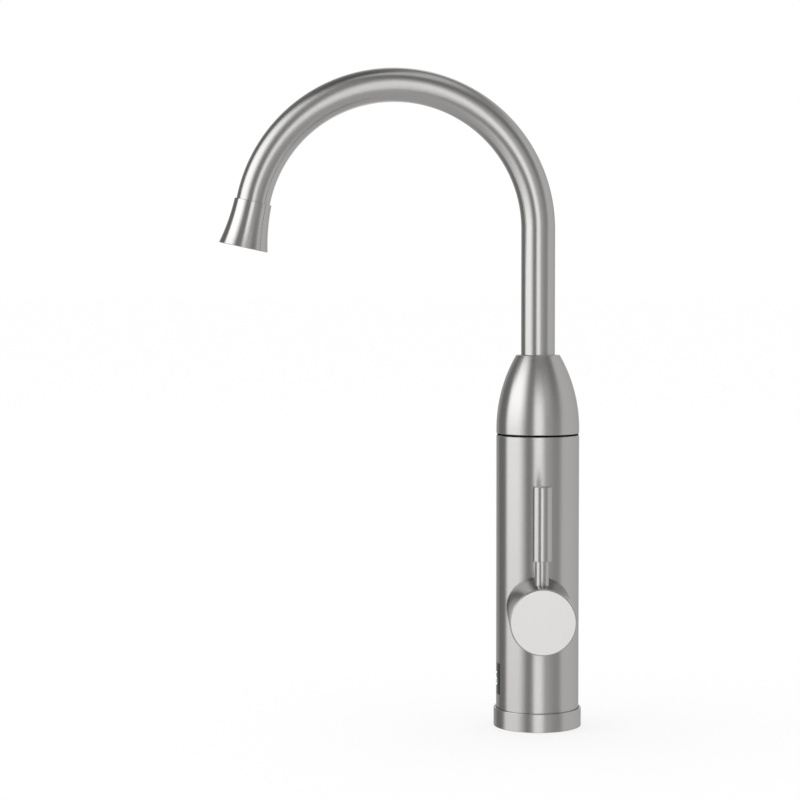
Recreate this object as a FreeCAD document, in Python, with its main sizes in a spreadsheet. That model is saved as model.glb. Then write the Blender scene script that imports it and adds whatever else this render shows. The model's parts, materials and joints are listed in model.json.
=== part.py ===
import FreeCAD, Part
import math
import os
import re
import Sketcher

# Instant hot water tap: a cylindrical body with a heater, a swivelling gooseneck spout
# and a quarter-turn lever valve on its side.
# Frame: origin on the body's axis at the deck, +Z up, spout and display towards -X,
# valve axis along -Y. Pieces on the valve axis are turned about it, with "out" measured
# from the body's axis. Pieces of the nozzle are turned about the spout's straight end,
# with "along" measured from the end of the bend.

# Driving dimensions, in millimetres and degrees
DIMENSIONS = {
    # Clearances and small edges
    "seat_gap": 0.05,
    "loose_gap": 0.1,
    "edge_break": 0.3,
    # Body shell and the dark seam under the dome
    "body_radius": 25.0,
    "body_wall": 1.2,
    "body_top": 176.2,
    "seam_gap": 1.1,
    "seam_depth": 0.5,
    "seam_wall": 1.5,
    "seam_lap_low": 3.2,
    "seam_lap_high": 2.7,
    # Dome over the heater
    "dome_spring": 180.0,
    "dome_top": 224.5,
    "dome_arc": 89.0,
    "dome_wall": 1.4,
    "dome_edge": 0.9,
    "dome_hole_gap": 0.3,
    # Base ring, gasket and base plate
    "base_radius": 26.5,
    "base_height": 11.2,
    "base_edge": 0.5,
    "base_bore": 22.5,
    "base_seat": 25.3,
    "shelf_height": 3.0,
    "gasket_inner": 23.4,
    "gasket_outer": 25.2,
    "gasket_depth": 1.2,
    "plate_radius": 23.7,
    "plate_top": 8.0,
    # Screws that hold the base plate to the valve body
    "base_screw_place": 18.0,
    "base_screw_radius": 1.5,
    "base_screw_head": 2.75,
    "base_screw_head_high": 2.0,
    "base_screw_tip": 14.5,
    # Inlet shank with its parallel half-inch pipe thread
    "water_offset": 6.5,
    "shank_radius": 10.4775,
    "shank_bottom": -50.0,
    "shank_chamfer": 0.8,
    "shank_bore": 6.0,
    "shank_flange": 11.8,
    "shank_flange_top": 11.0,
    "relief_radius": 9.4,
    "relief_low": -35.0,
    "relief_high": -33.0,
    "shank_spigot": 9.0,
    "shank_spigot_top": 20.5,
    "shank_groove_floor": 7.9,
    "shank_groove_low": 15.0,
    "shank_groove_high": 17.0,
    "shank_seal_half": 0.55,
    "filter_rim_high": 1.2,
    "filter_high": 8.0,
    "filter_wall": 0.5,
    "filter_mouth": 5.1,
    "filter_end": 4.0,
    # Hardware under the deck
    "deck_thick": 16.0,
    "washer_radius": 22.0,
    "washer_thick": 3.0,
    "clamp_thick": 2.0,
    "washer_hole_gap": 0.35,
    "cable_slot_start": 7.6,
    "cable_slot_half": 5.0,
    "nut_flats": 27.0,
    "nut_high": 10.0,
    # Cord gland
    "gland_offset": 12.5,
    "gland_bore": 3.6,
    "gland_throat": 3.2,
    "gland_throat_start": -1.0,
    "gland_radius": 4.9,
    "gland_low": -12.0,
    "gland_flange": 6.8,
    "gland_top": 10.0,
    # Valve body
    "valve_height": 74.0,
    "barrel_radius": 15.8,
    "barrel_back": 9.0,
    "barrel_face": 17.0,
    "chamber_floor": 5.0,
    "bonnet_spigot": 13.5,
    "port_radius": 2.5,
    "passage_radius": 3.0,
    "socket_radius": 11.0,
    "socket_roof": 21.0,
    "socket_top": 24.0,
    "riser_radius": 6.5,
    "foot_half_wide": 6.5,
    "foot_half_long": 21.0,
    "foot_top": 15.0,
    "post_radius": 3.5,
    "column_radius": 7.5,
    "column_top": 92.0,
    "outlet_spigot": 5.5,
    "outlet_spigot_top": 99.0,
    "outlet_groove_floor": 4.4,
    "outlet_groove_low": 94.5,
    "outlet_groove_high": 96.3,
    "outlet_seal_half": 0.55,
    # Bonnet, sleeve and sleeve nut around the cartridge
    "bonnet_bore": 11.6,
    "bonnet_start": 5.2,
    "bonnet_end": 36.0,
    "sleeve_radius": 19.2,
    "sleeve_bore": 16.0,
    "sleeve_start": 10.0,
    "sleeve_nut_bore": 18.0,
    "sleeve_nut_radius": 17.8,
    "sleeve_nut_start": 32.0,
    "sleeve_nut_end": 35.6,
    # Ceramic cartridge
    "disc_radius": 11.3,
    "seal_top": 6.5,
    "lower_disc_top": 9.7,
    "disc_gap": 0.1,
    "upper_disc_radius": 10.4,
    "upper_disc_top": 13.0,
    "water_slot_half_wide": 3.0,
    "water_slot_half_long": 9.2,
    "water_slot_deep": 1.2,
    "drive_slot_half_wide": 1.6,
    "drive_slot_half_long": 7.0,
    "drive_slot_deep": 1.0,
    "cartridge_radius": 11.5,
    "cartridge_bore": 10.7,
    "cartridge_roof": 17.5,
    "cartridge_shoulder": 20.0,
    "cartridge_neck": 8.0,
    "cartridge_end": 27.0,
    "cartridge_nut_end": 26.0,
    "spanner_slot_half": 1.6,
    "spanner_slot_deep": 2.0,
    # Spindle
    "spindle_radius": 5.0,
    "spindle_flange": 10.3,
    "spindle_flange_top": 17.3,
    "spindle_end": 52.7,
    "spindle_groove_floor": 4.0,
    "spindle_groove_low": 22.0,
    "spindle_groove_high": 23.6,
    "spindle_seal_half": 0.5,
    "spindle_screw_bore": 2.0,
    "spindle_screw_start": 41.7,
    "spindle_screw_head": 3.5,
    "spindle_screw_head_high": 2.6,
    "spindle_screw_flats": 3.0,
    # Handle
    "handle_radius": 19.2,
    "handle_wall": 1.6,
    "handle_start": 36.4,
    "handle_rim": 77.6,
    "handle_face": 79.0,
    "handle_web_low": 60.7,
    "handle_web_high": 64.7,
    "hub_radius": 10.5,
    "hub_start": 38.0,
    "end_cap_radius": 18.95,
    "end_cap_edge": 0.8,
    "end_cap_thick": 2.9,
    "end_cap_skirt": 1.5,
    "end_cap_skirt_start": 72.7,
    # Lever
    "lever_place": 58.7,
    "lever_seat": 9.6,
    "lever_tip": 4.2,
    "lever_thread": 3.0,
    "stem_radius": 3.95,
    "stem_top": 112.0,
    "grip_radius": 5.72,
    "grip_low": 106.9,
    "grip_high": 150.0,
    "grip_edge": 0.7,
    # Heater pot, lid and elements
    "pot_radius": 19.5,
    "pot_wall": 1.2,
    "pot_low": 100.0,
    "pot_floor": 2.0,
    "pot_corner": 2.0,
    "flange_radius": 23.5,
    "flange_low": 164.0,
    "flange_top": 167.0,
    "boss_radius": 8.0,
    "lid_top": 171.0,
    "lid_seal_radius": 19.3,
    "lid_seal_half": 0.65,
    "lid_groove_half": 0.75,
    "lid_groove_deep": 1.4,
    "lid_screw_place": 21.5,
    "lid_screw_radius": 1.0,
    "lid_screw_tip": 164.6,
    "lid_screw_head": 2.0,
    "lid_screw_head_high": 1.4,
    "element_radius": 3.25,
    "terminal_low": 94.0,
    "left_element_place": 7.0,
    "left_element_half": 12.0,
    "left_element_top": 150.0,
    "right_element_place": 6.5,
    "right_element_half": 13.0,
    "right_element_top": 147.0,
    "element_nut_flats": 8.0,
    "element_nut_low": 96.4,
    # Sensors and switches
    "cutout_place": 10.0,
    "cutout_radius": 6.0,
    "cutout_low": 95.0,
    "cutout_tab_low": 91.5,
    "cutout_tab_place": 3.0,
    "cutout_tab_half_wide": 2.0,
    "cutout_tab_half_thick": 0.4,
    "probe_across": 13.0,
    "probe_back": 8.0,
    "probe_head": 2.2,
    "probe_head_low": 95.5,
    "probe_radius": 1.5,
    "probe_top": 114.0,
    "switch_half_wide": 8.0,
    "switch_back": 16.0,
    "switch_low": 64.0,
    "switch_high": 84.0,
    "switch_pin_high": 88.0,
    "switch_pin_place": 5.0,
    "switch_pin_half_wide": 1.5,
    "switch_pin_half_thick": 0.4,
    "switch_pin_back": 12.5,
    # Control electronics
    "board_inner": 17.0,
    "board_thick": 1.6,
    "board_half": 13.0,
    "board_low": 14.0,
    "board_high": 95.0,
    "sink_left": -4.0,
    "sink_right": 9.0,
    "sink_half": 8.0,
    "sink_low": 30.0,
    "sink_high": 46.0,
    "triac_outer": 13.5,
    "triac_half": 5.2,
    "triac_high": 45.0,
    "triac_leg_pitch": 2.54,
    "triac_leg_half": 0.4,
    "triac_leg_thick": 0.8,
    "relay_inner": 9.0,
    "relay_half": 6.0,
    "relay_low": 48.5,
    "relay_high": 57.0,
    # Display
    "window_half": 10.0,
    "window_low": 19.9,
    "window_high": 38.7,
    "window_corner": 0.6,
    "window_lip": 1.8,
    "window_lip_wall": 0.8,
    "window_inset": 20.0,
    "window_reach": 27.0,
    "display_board_inner": 19.0,
    "display_board_outer": 20.5,
    "display_board_half": 9.0,
    "display_board_low": 14.0,
    "display_board_high": 41.0,
    "digits_outer": 21.7,
    "digits_half": 7.0,
    "digits_low": 21.1,
    "digits_high": 37.6,
    # Swivel joint under the dome
    "swivel_spigot": 10.0,
    "swivel_passage": 6.0,
    "swivel_flange": 16.0,
    "swivel_flange_top": 174.0,
    "swivel_neck": 15.0,
    "swivel_bore": 12.05,
    "swivel_floor": 176.0,
    "swivel_top": 197.0,
    "slide_ring_inner": 12.4,
    "slide_ring_outer": 14.2,
    "slide_ring_thick": 0.8,
    "ferrule_radius": 12.0,
    "ferrule_low": 176.4,
    "ferrule_chamfer": 0.4,
    "ferrule_bore": 8.0,
    "ferrule_collar": 13.8,
    "ferrule_collar_low": 197.9,
    "ferrule_top": 200.2,
    "swivel_groove_floor": 10.55,
    "swivel_groove_half": 0.9,
    "swivel_seal_half": 0.7,
    "low_seal_height": 180.0,
    "high_seal_height": 189.0,
    "swivel_nut_radius": 17.0,
    "swivel_nut_low": 188.0,
    "swivel_nut_bore": 14.3,
    "swivel_nut_roof": 200.6,
    "swivel_nut_top": 203.5,
    "swivel_nut_mouth": 10.6,
    # Spout
    "tube_radius": 10.2,
    "tube_wall": 1.0,
    "tube_low": 192.0,
    "spout_rise": 299.7,
    "bend_radius": 86.33,
    "bend_turn": 167.6,
    "tube_tail": 14.0,
    # Nozzle and aerator
    "nozzle_start": 1.9,
    "nozzle_root": 11.25,
    "nozzle_flare": 123.5,
    "nozzle_end": 30.0,
    "nozzle_edge": 0.4,
    "nozzle_throat": 9.2,
    "nozzle_chamber": 11.4,
    "nozzle_chamber_start": 18.6,
    "aerator_radius": 11.3,
    "aerator_washer_bore": 8.0,
    "aerator_washer_end": 20.1,
    "screen_end": 20.7,
    "screen_hole": 2.2,
    "screen_ring": 6.0,
    "insert_end": 29.4,
    "insert_recess": 1.0,
    "insert_rim": 1.0,
    "jet_radius": 1.3,
    "jet_inner_ring": 4.0,
    "jet_outer_ring": 8.0,
}

LEFT = 1
RIGHT = -1
FULL_TURN = 360
# The sketch axes, by the coordinate that is zero on them
ZERO_LINES = {"X": -2, "Y": -1}
ROOT_POINT = (-1, 1)
CENTRE = 3

SHELL_BORE = "(body_radius - body_wall)"
DOME_FOOT = "(body_top + seam_gap)"
DOME_BORE = "(body_radius - dome_wall)"
WASHER_TOP = "(0 - deck_thick)"
CLAMP_TOP = "(0 - deck_thick - washer_thick)"
NUT_TOP = "(0 - deck_thick - washer_thick - clamp_thick)"
NUT_BOTTOM = "(0 - deck_thick - washer_thick - clamp_thick - nut_high)"

doc = FreeCAD.newDocument("InstantTap")
sheet = doc.addObject("Spreadsheet::Sheet", "Dims")
sub_parts = []


def fill_sheet():
    """Write each driving dimension and its alias to the sheet."""
    for row, (alias, size) in enumerate(DIMENSIONS.items(), start=1):
        cell = "B%d" % row
        sheet.set("A%d" % row, alias)
        sheet.set(cell, str(size))
        sheet.setAlias(cell, alias)
    doc.recompute()


def bound(text):
    """Point each dimension's name in an expression at its cell of the sheet."""

    def cell(found):
        word = found.group()
        return "Dims." + word if word in DIMENSIONS else word

    return re.sub(r"[a-z_]+", cell, text)


def value(text):
    """The number that an expression gives now."""
    return float(sheet.evalExpression(bound(text)))


def new_body(label):
    body = doc.addObject("PartDesign::Body", label)
    body.Label = label
    sub_parts.append(body)
    return body


def origin_feature(body, role):
    return next(item for item in body.Origin.OriginFeatures if item.Role == role)


def new_sketch(body, plane, across="0", lift="0"):
    """A sketch on one of the body's own planes, moved across the plane and lifted off it."""
    sketch = body.newObject("Sketcher::SketchObject", body.Name + "_sketch")
    sketch.AttachmentSupport = [(origin_feature(body, plane), "")]
    sketch.MapMode = "FlatFace"
    sketch.setExpression("AttachmentOffset.Base.x", bound(across))
    sketch.setExpression("AttachmentOffset.Base.z", bound(lift))
    return sketch


def fix(sketch, edge, end, axis, text):
    """Hold one end of an edge at a bound distance from the sketch's origin."""
    place = value(text)
    if abs(place) < 1e-9:
        sketch.addConstraint(Sketcher.Constraint("PointOnObject", edge, end, ZERO_LINES[axis]))
        return
    rule = Sketcher.Constraint("Distance" + axis, *ROOT_POINT, edge, end, place)
    index = sketch.addConstraint(rule)
    sketch.setExpression("Constraints[%d]" % index, bound(text))


def fix_radius(sketch, edge, text):
    index = sketch.addConstraint(Sketcher.Constraint("Radius", edge, value(text)))
    sketch.setExpression("Constraints[%d]" % index, bound(text))


def arc_between(first, second, radius, turn):
    """The shorter arc from one point to the next; a left turn runs anticlockwise."""
    chord = second - first
    rise = math.sqrt(max(0.0, radius**2 - (chord.Length / 2) ** 2))
    side = FreeCAD.Vector(-chord.y, chord.x, 0).normalize()
    centre = (first + second) * 0.5 + side * (rise * turn)
    ends = (first, second) if turn == LEFT else (second, first)
    angles = [math.atan2(point.y - centre.y, point.x - centre.x) for point in ends]
    circle_line = Part.Circle(centre, FreeCAD.Vector(0, 0, 1), radius)
    return Part.ArcOfCircle(circle_line, *angles)


def outline(*corners, closed=True):
    """Lines through bound corners; a corner with a radius and a turn starts an arc instead."""

    def draw(sketch):
        points = [FreeCAD.Vector(value(corner[0]), value(corner[1]), 0) for corner in corners]
        count = len(corners) if closed else len(corners) - 1
        before = None
        opening = None
        for i in range(count):
            second = points[(i + 1) % len(points)]
            head, tail = 1, 2
            if len(corners[i]) > 2:
                radius, turn = corners[i][2:]
                arc = arc_between(points[i], second, value(radius), turn)
                edge = sketch.addGeometry(arc, False)
                fix_radius(sketch, edge, radius)
                if turn == RIGHT:
                    head, tail = 2, 1
            else:
                edge = sketch.addGeometry(Part.LineSegment(points[i], second), False)
            fix(sketch, edge, head, "X", corners[i][0])
            fix(sketch, edge, head, "Y", corners[i][1])
            if before:
                sketch.addConstraint(Sketcher.Constraint("Coincident", *before, edge, head))
            opening = opening or (edge, head)
            before = (edge, tail)
        if closed:
            sketch.addConstraint(Sketcher.Constraint("Coincident", *before, *opening))
        else:
            fix(sketch, *before, "X", corners[-1][0])
            fix(sketch, *before, "Y", corners[-1][1])

    return draw


def rectangle(left, right, low, high):
    return outline((left, low), (right, low), (right, high), (left, high))


def rounded_rectangle(half, low, high, corner):
    """A rectangle centred across its sketch, with rounded corners."""
    inner = "(%s) - (%s)" % (half, corner)
    above = "(%s) + (%s)" % (low, corner)
    below = "(%s) - (%s)" % (high, corner)
    return outline(
        ("0 - (%s)" % inner, low),
        (inner, low, corner, LEFT),
        (half, above),
        (half, below, corner, LEFT),
        (inner, high),
        ("0 - (%s)" % inner, high, corner, LEFT),
        ("0 - (%s)" % half, below),
        ("0 - (%s)" % half, above, corner, LEFT),
    )


def hexagon(flats, across="0", up="0"):
    """A hexagon with two flats square to the sketch's first axis."""
    corners = []
    for i in range(6):
        angle = "%d deg" % (30 + 60 * i)
        reach = "(%s) / (2 * cos(30 deg))" % flats
        corners.append(
            (
                "(%s) + %s * cos(%s)" % (across, reach, angle),
                "(%s) + %s * sin(%s)" % (up, reach, angle),
            )
        )
    return outline(*corners)


def circle(radius, across="0", up="0"):
    def draw(sketch):
        centre = FreeCAD.Vector(value(across), value(up), 0)
        edge = sketch.addGeometry(Part.Circle(centre, FreeCAD.Vector(0, 0, 1), value(radius)), False)
        fix(sketch, edge, CENTRE, "X", across)
        fix(sketch, edge, CENTRE, "Y", up)
        fix_radius(sketch, edge, radius)

    return draw


def turn(body, shape, kind="PartDesign::Revolution", across="0", lift="0"):
    """Turn a profile of radius and height about the vertical axis of its sketch."""
    sketch = new_sketch(body, "XZ_Plane", across, lift)
    shape(sketch)
    feature = body.newObject(kind, body.Name + "_turn")
    feature.Profile = sketch
    feature.ReferenceAxis = (sketch, ["V_Axis"])
    feature.Angle = FULL_TURN
    return feature


def groove(body, shape):
    return turn(body, shape, "PartDesign::Groove")


def pad(body, low, high, *shapes, plane="XY_Plane"):
    """Raise shapes from one distance off a plane to another."""
    sketch = new_sketch(body, plane, lift=low)
    for shape in shapes:
        shape(sketch)
    feature = body.newObject("PartDesign::Pad", body.Name + "_pad")
    feature.Profile = sketch
    feature.setExpression("Length", bound("(%s) - (%s)" % (high, low)))
    return feature


def cut(body, low, high, *shapes, plane="XY_Plane"):
    """Sink shapes from the further distance off a plane back to the nearer one."""
    sketch = new_sketch(body, plane, lift=high)
    for shape in shapes:
        shape(sketch)
    feature = body.newObject("PartDesign::Pocket", body.Name + "_cut")
    feature.Profile = sketch
    feature.setExpression("Length", bound("(%s) - (%s)" % (high, low)))
    return feature


def repeat_round(body, feature, count):
    """Repeat a feature evenly round the body's upright axis."""
    pattern = body.newObject("PartDesign::PolarPattern", body.Name + "_round")
    pattern.Originals = [feature]
    pattern.Axis = (origin_feature(body, "Z_Axis"), [""])
    pattern.Angle = FULL_TURN
    pattern.Occurrences = count
    body.Tip = pattern


def repeat_mirrored(body, feature, plane):
    mirror = body.newObject("PartDesign::Mirrored", body.Name + "_mirror")
    mirror.Originals = [feature]
    mirror.MirrorPlane = (origin_feature(body, plane), [""])
    body.Tip = mirror


def sweep(body, section, section_plane, path, path_plane, across="0", low="0", lift="0"):
    """Sweep a section along a path drawn on another of the body's planes."""
    profile = new_sketch(body, section_plane, across, low)
    for shape in section:
        shape(profile)
    spine = new_sketch(body, path_plane, lift=lift)
    path(spine)
    feature = body.newObject("PartDesign::AdditivePipe", body.Name + "_sweep")
    feature.Profile = profile
    feature.Spine = spine
    return feature


def turned_body(label, *corners):
    body = new_body(label)
    turn(body, outline(*corners))
    return body


def seal_section(centre_radius, height, half):
    """The square section of a seal ring."""
    return rectangle(
        "(%s) - (%s)" % (centre_radius, half),
        "(%s) + (%s)" % (centre_radius, half),
        "(%s) - (%s)" % (height, half),
        "(%s) + (%s)" % (height, half),
    )


def seal_ring(label, centre_radius, height, half):
    """A square-cut seal ring."""
    body = new_body(label)
    turn(body, seal_section(centre_radius, height, half))
    return body


def stand_at(body, across="0", back="0", up="0"):
    """Set a body upright on a place in the tap's frame."""
    for axis, place in zip("xyz", (across, back, up)):
        body.setExpression("Placement.Base." + axis, bound(place))


def lay_on_valve_axis(body):
    """Turn a body's upright axis to point out of the tap's side, at the valve's height."""
    body.Placement.Rotation = FreeCAD.Rotation(FreeCAD.Vector(1, 0, 0), 90)
    stand_at(body, up="valve_height")


def hang_on_spout(body):
    """Turn a body's upright axis down along the spout's straight end."""
    body.Placement.Rotation = FreeCAD.Rotation(FreeCAD.Vector(0, -1, 0), value("bend_turn"))
    body.setExpression("Placement.Rotation.Angle", bound("bend_turn * 1 deg"))
    stand_at(
        body,
        across="bend_radius * (cos(bend_turn * 1 deg) - 1)",
        up="spout_rise + bend_radius * sin(bend_turn * 1 deg)",
    )


# Base and inlet


def make_base_ring():
    turned_body(
        "base_ring",
        ("base_bore", "0"),
        ("gasket_inner", "0"),
        ("gasket_inner", "gasket_depth"),
        ("gasket_outer", "gasket_depth"),
        ("gasket_outer", "0"),
        ("base_radius - edge_break", "0"),
        ("base_radius", "edge_break"),
        ("base_radius", "base_height - base_edge"),
        ("base_radius - base_edge", "base_height"),
        ("base_seat", "base_height"),
        ("base_seat", "shelf_height"),
        ("base_bore", "shelf_height"),
    )


def make_base_gasket():
    turned_body(
        "base_gasket",
        ("gasket_inner + seat_gap", "0"),
        ("gasket_outer - seat_gap", "0"),
        ("gasket_outer - seat_gap", "gasket_depth"),
        ("gasket_inner + seat_gap", "gasket_depth"),
    )


def make_base_plate():
    body = new_body("base_plate")
    pad(body, "shelf_height", "plate_top", circle("plate_radius"))
    screw_hole = "base_screw_radius + loose_gap"
    cut(
        body,
        "shelf_height",
        "plate_top",
        circle("shank_radius + loose_gap", "0 - water_offset"),
        circle("gland_radius + loose_gap", "gland_offset"),
        circle(screw_hole, "0", "base_screw_place"),
        circle(screw_hole, "0", "0 - base_screw_place"),
    )
    head_hole = "base_screw_head + loose_gap"
    cut(
        body,
        "shelf_height",
        "shelf_height + base_screw_head_high",
        circle(head_hole, "0", "base_screw_place"),
        circle(head_hole, "0", "0 - base_screw_place"),
    )


def make_base_screws():
    body = new_body("base_screws")
    profile = outline(
        ("0", "shelf_height"),
        ("base_screw_head", "shelf_height"),
        ("base_screw_head", "shelf_height + base_screw_head_high"),
        ("base_screw_radius", "shelf_height + base_screw_head_high"),
        ("base_screw_radius", "base_screw_tip"),
        ("0", "base_screw_tip"),
    )
    screw = turn(body, profile, lift="base_screw_place")
    repeat_mirrored(body, screw, "XZ_Plane")


def make_inlet_shank():
    body = turned_body(
        "inlet_shank",
        ("shank_bore", "shank_bottom"),
        ("shank_radius - shank_chamfer", "shank_bottom"),
        ("shank_radius", "shank_bottom + shank_chamfer"),
        ("shank_radius", "relief_low"),
        ("relief_radius", "relief_low"),
        ("relief_radius", "relief_high"),
        ("shank_radius", "relief_high"),
        ("shank_radius", "plate_top"),
        ("shank_flange", "plate_top"),
        ("shank_flange", "shank_flange_top"),
        ("shank_spigot", "shank_flange_top"),
        ("shank_spigot", "shank_groove_low"),
        ("shank_groove_floor", "shank_groove_low"),
        ("shank_groove_floor", "shank_groove_high"),
        ("shank_spigot", "shank_groove_high"),
        ("shank_spigot", "shank_spigot_top - edge_break"),
        ("shank_spigot - edge_break", "shank_spigot_top"),
        ("shank_bore", "shank_spigot_top"),
    )
    stand_at(body, "0 - water_offset")


def make_shank_seal():
    body = seal_ring(
        "shank_seal",
        "shank_groove_floor + shank_seal_half",
        "(shank_groove_low + shank_groove_high) / 2",
        "shank_seal_half",
    )
    stand_at(body, "0 - water_offset")


def make_inlet_filter():
    body = turned_body(
        "inlet_filter",
        ("filter_mouth - filter_wall", "shank_bottom"),
        ("shank_bore - seat_gap", "shank_bottom"),
        ("shank_bore - seat_gap", "shank_bottom + filter_rim_high"),
        ("filter_mouth", "shank_bottom + filter_rim_high"),
        ("filter_end", "shank_bottom + filter_high"),
        ("0", "shank_bottom + filter_high"),
        ("0", "shank_bottom + filter_high - filter_wall"),
        ("filter_end - filter_wall", "shank_bottom + filter_high - filter_wall"),
    )
    stand_at(body, "0 - water_offset")


def horseshoe(label, low, high):
    """A disc round the shank, with a slot that lets the cable in from the side."""
    body = new_body(label)
    pad(body, low, high, circle("washer_radius"))
    cut(body, low, high, circle("shank_radius + washer_hole_gap", "0 - water_offset"))
    slot = rectangle(
        "cable_slot_start",
        "washer_radius + cable_slot_half",
        "0 - cable_slot_half",
        "cable_slot_half",
    )
    cut(body, low, high, slot)


def make_deck_washer():
    horseshoe("deck_washer", CLAMP_TOP, WASHER_TOP)


def make_clamp_plate():
    horseshoe("clamp_plate", NUT_TOP, CLAMP_TOP)


def make_fixing_nut():
    body = new_body("fixing_nut")
    pad(body, NUT_BOTTOM, NUT_TOP, hexagon("nut_flats"))
    cut(body, NUT_BOTTOM, NUT_TOP, circle("shank_radius + seat_gap"))
    stand_at(body, "0 - water_offset")


def make_cord_gland():
    body = turned_body(
        "cord_gland",
        ("gland_bore", "gland_low"),
        ("gland_radius", "gland_low"),
        ("gland_radius", "plate_top"),
        ("gland_flange", "plate_top"),
        ("gland_flange", "gland_top"),
        ("gland_throat", "gland_top"),
        ("gland_throat", "gland_throat_start"),
        ("gland_bore", "gland_throat_start"),
    )
    stand_at(body, "gland_offset")


# Valve


def make_valve_body():
    body = new_body("valve_body")
    inlet = "0 - water_offset"
    outlet = "water_offset"
    pad(
        body,
        "0 - barrel_back",
        "barrel_face",
        circle("barrel_radius", "0", "valve_height"),
        plane="XZ_Plane",
    )
    pad(body, "socket_top", "valve_height", circle("riser_radius", inlet))
    pad(body, "shank_flange_top", "socket_top", circle("socket_radius", inlet))
    foot = rectangle(
        "0 - foot_half_wide", "foot_half_wide", "0 - foot_half_long", "foot_half_long"
    )
    pad(body, "shank_flange_top", "foot_top", foot)
    pad(
        body,
        "plate_top",
        "shank_flange_top",
        circle("post_radius", "0", "base_screw_place"),
        circle("post_radius", "0", "0 - base_screw_place"),
    )
    pad(body, "valve_height", "column_top", circle("column_radius", outlet))
    pad(body, "column_top", "outlet_groove_low", circle("outlet_spigot", outlet))
    pad(body, "outlet_groove_low", "outlet_groove_high", circle("outlet_groove_floor", outlet))
    pad(body, "outlet_groove_high", "outlet_spigot_top", circle("outlet_spigot", outlet))
    cut(
        body,
        "chamber_floor",
        "barrel_face",
        circle("bonnet_spigot + seat_gap", "0", "valve_height"),
        plane="XZ_Plane",
    )
    cut(
        body,
        "0",
        "chamber_floor",
        circle("port_radius", inlet, "valve_height"),
        circle("port_radius", outlet, "valve_height"),
        plane="XZ_Plane",
    )
    cut(body, "shank_flange_top", "socket_roof", circle("shank_spigot + seat_gap", inlet))
    cut(body, "socket_roof", "valve_height + passage_radius", circle("passage_radius", inlet))
    cut(body, "valve_height - passage_radius", "outlet_spigot_top", circle("passage_radius", outlet))
    cut(
        body,
        "plate_top",
        "foot_top",
        circle("base_screw_radius + seat_gap", "0", "base_screw_place"),
        circle("base_screw_radius + seat_gap", "0", "0 - base_screw_place"),
    )


def make_outlet_seal():
    body = seal_ring(
        "outlet_seal",
        "outlet_groove_floor + outlet_seal_half",
        "(outlet_groove_low + outlet_groove_high) / 2",
        "outlet_seal_half",
    )
    stand_at(body, "water_offset")


def make_valve_bonnet():
    body = turned_body(
        "valve_bonnet",
        ("bonnet_bore", "bonnet_start"),
        ("bonnet_spigot", "bonnet_start"),
        ("bonnet_spigot", "barrel_face"),
        ("barrel_radius", "barrel_face"),
        ("barrel_radius", "bonnet_end"),
        ("bonnet_bore", "bonnet_end"),
    )
    lay_on_valve_axis(body)


def make_valve_sleeve():
    body = turned_body(
        "valve_sleeve",
        ("sleeve_bore", "sleeve_start"),
        ("sleeve_radius", "sleeve_start"),
        ("sleeve_radius", "bonnet_end"),
        ("sleeve_nut_bore", "bonnet_end"),
        ("sleeve_nut_bore", "sleeve_nut_start"),
        ("sleeve_bore", "sleeve_nut_start"),
    )
    # The foot is saddled to the shell's round surface
    cut(
        body,
        "0 - sleeve_radius - loose_gap",
        "sleeve_radius + loose_gap",
        circle("body_radius + seat_gap"),
        plane="XZ_Plane",
    )
    lay_on_valve_axis(body)


def make_sleeve_nut():
    body = turned_body(
        "sleeve_nut",
        ("barrel_radius + seat_gap", "sleeve_nut_start"),
        ("sleeve_nut_radius", "sleeve_nut_start"),
        ("sleeve_nut_radius", "sleeve_nut_end"),
        ("barrel_radius + seat_gap", "sleeve_nut_end"),
    )
    lay_on_valve_axis(body)


def ported_disc(label, low, high, port):
    """A round disc with one port for the inlet and one for the outlet."""
    body = new_body(label)
    pad(body, low, high, circle("disc_radius"))
    cut(body, low, high, circle(port, "0 - water_offset"), circle(port, "water_offset"))
    lay_on_valve_axis(body)


def make_cartridge_seal():
    ported_disc("cartridge_seal", "chamber_floor", "seal_top", "port_radius + loose_gap")


def make_lower_disc():
    ported_disc("lower_disc", "seal_top", "lower_disc_top", "port_radius")


def make_cartridge_body():
    body = turned_body(
        "cartridge_body",
        ("cartridge_bore", "lower_disc_top"),
        ("cartridge_radius", "lower_disc_top"),
        ("cartridge_radius", "cartridge_shoulder"),
        ("cartridge_neck", "cartridge_shoulder"),
        ("cartridge_neck", "cartridge_end"),
        ("spindle_radius + seat_gap", "cartridge_end"),
        ("spindle_radius + seat_gap", "cartridge_roof"),
        ("cartridge_bore", "cartridge_roof"),
    )
    lay_on_valve_axis(body)


def make_cartridge_nut():
    body = turned_body(
        "cartridge_nut",
        ("cartridge_neck + loose_gap", "cartridge_shoulder"),
        ("bonnet_bore - seat_gap", "cartridge_shoulder"),
        ("bonnet_bore - seat_gap", "cartridge_nut_end"),
        ("cartridge_neck + loose_gap", "cartridge_nut_end"),
    )
    slot = rectangle(
        "0 - spanner_slot_half", "spanner_slot_half", "0 - bonnet_bore", "bonnet_bore"
    )
    cut(body, "cartridge_nut_end - spanner_slot_deep", "cartridge_nut_end", slot)
    lay_on_valve_axis(body)


def make_upper_disc():
    body = new_body("upper_disc")
    low = "lower_disc_top + disc_gap"
    pad(body, low, "upper_disc_top", circle("upper_disc_radius"))
    water_slot = rectangle(
        "0 - water_slot_half_wide",
        "water_slot_half_wide",
        "0 - water_slot_half_long",
        "water_slot_half_long",
    )
    cut(body, low, low + " + water_slot_deep", water_slot)
    drive_slot = rectangle(
        "0 - drive_slot_half_long",
        "drive_slot_half_long",
        "0 - drive_slot_half_wide",
        "drive_slot_half_wide",
    )
    cut(body, "upper_disc_top - drive_slot_deep", "upper_disc_top", drive_slot)
    lay_on_valve_axis(body)


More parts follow.
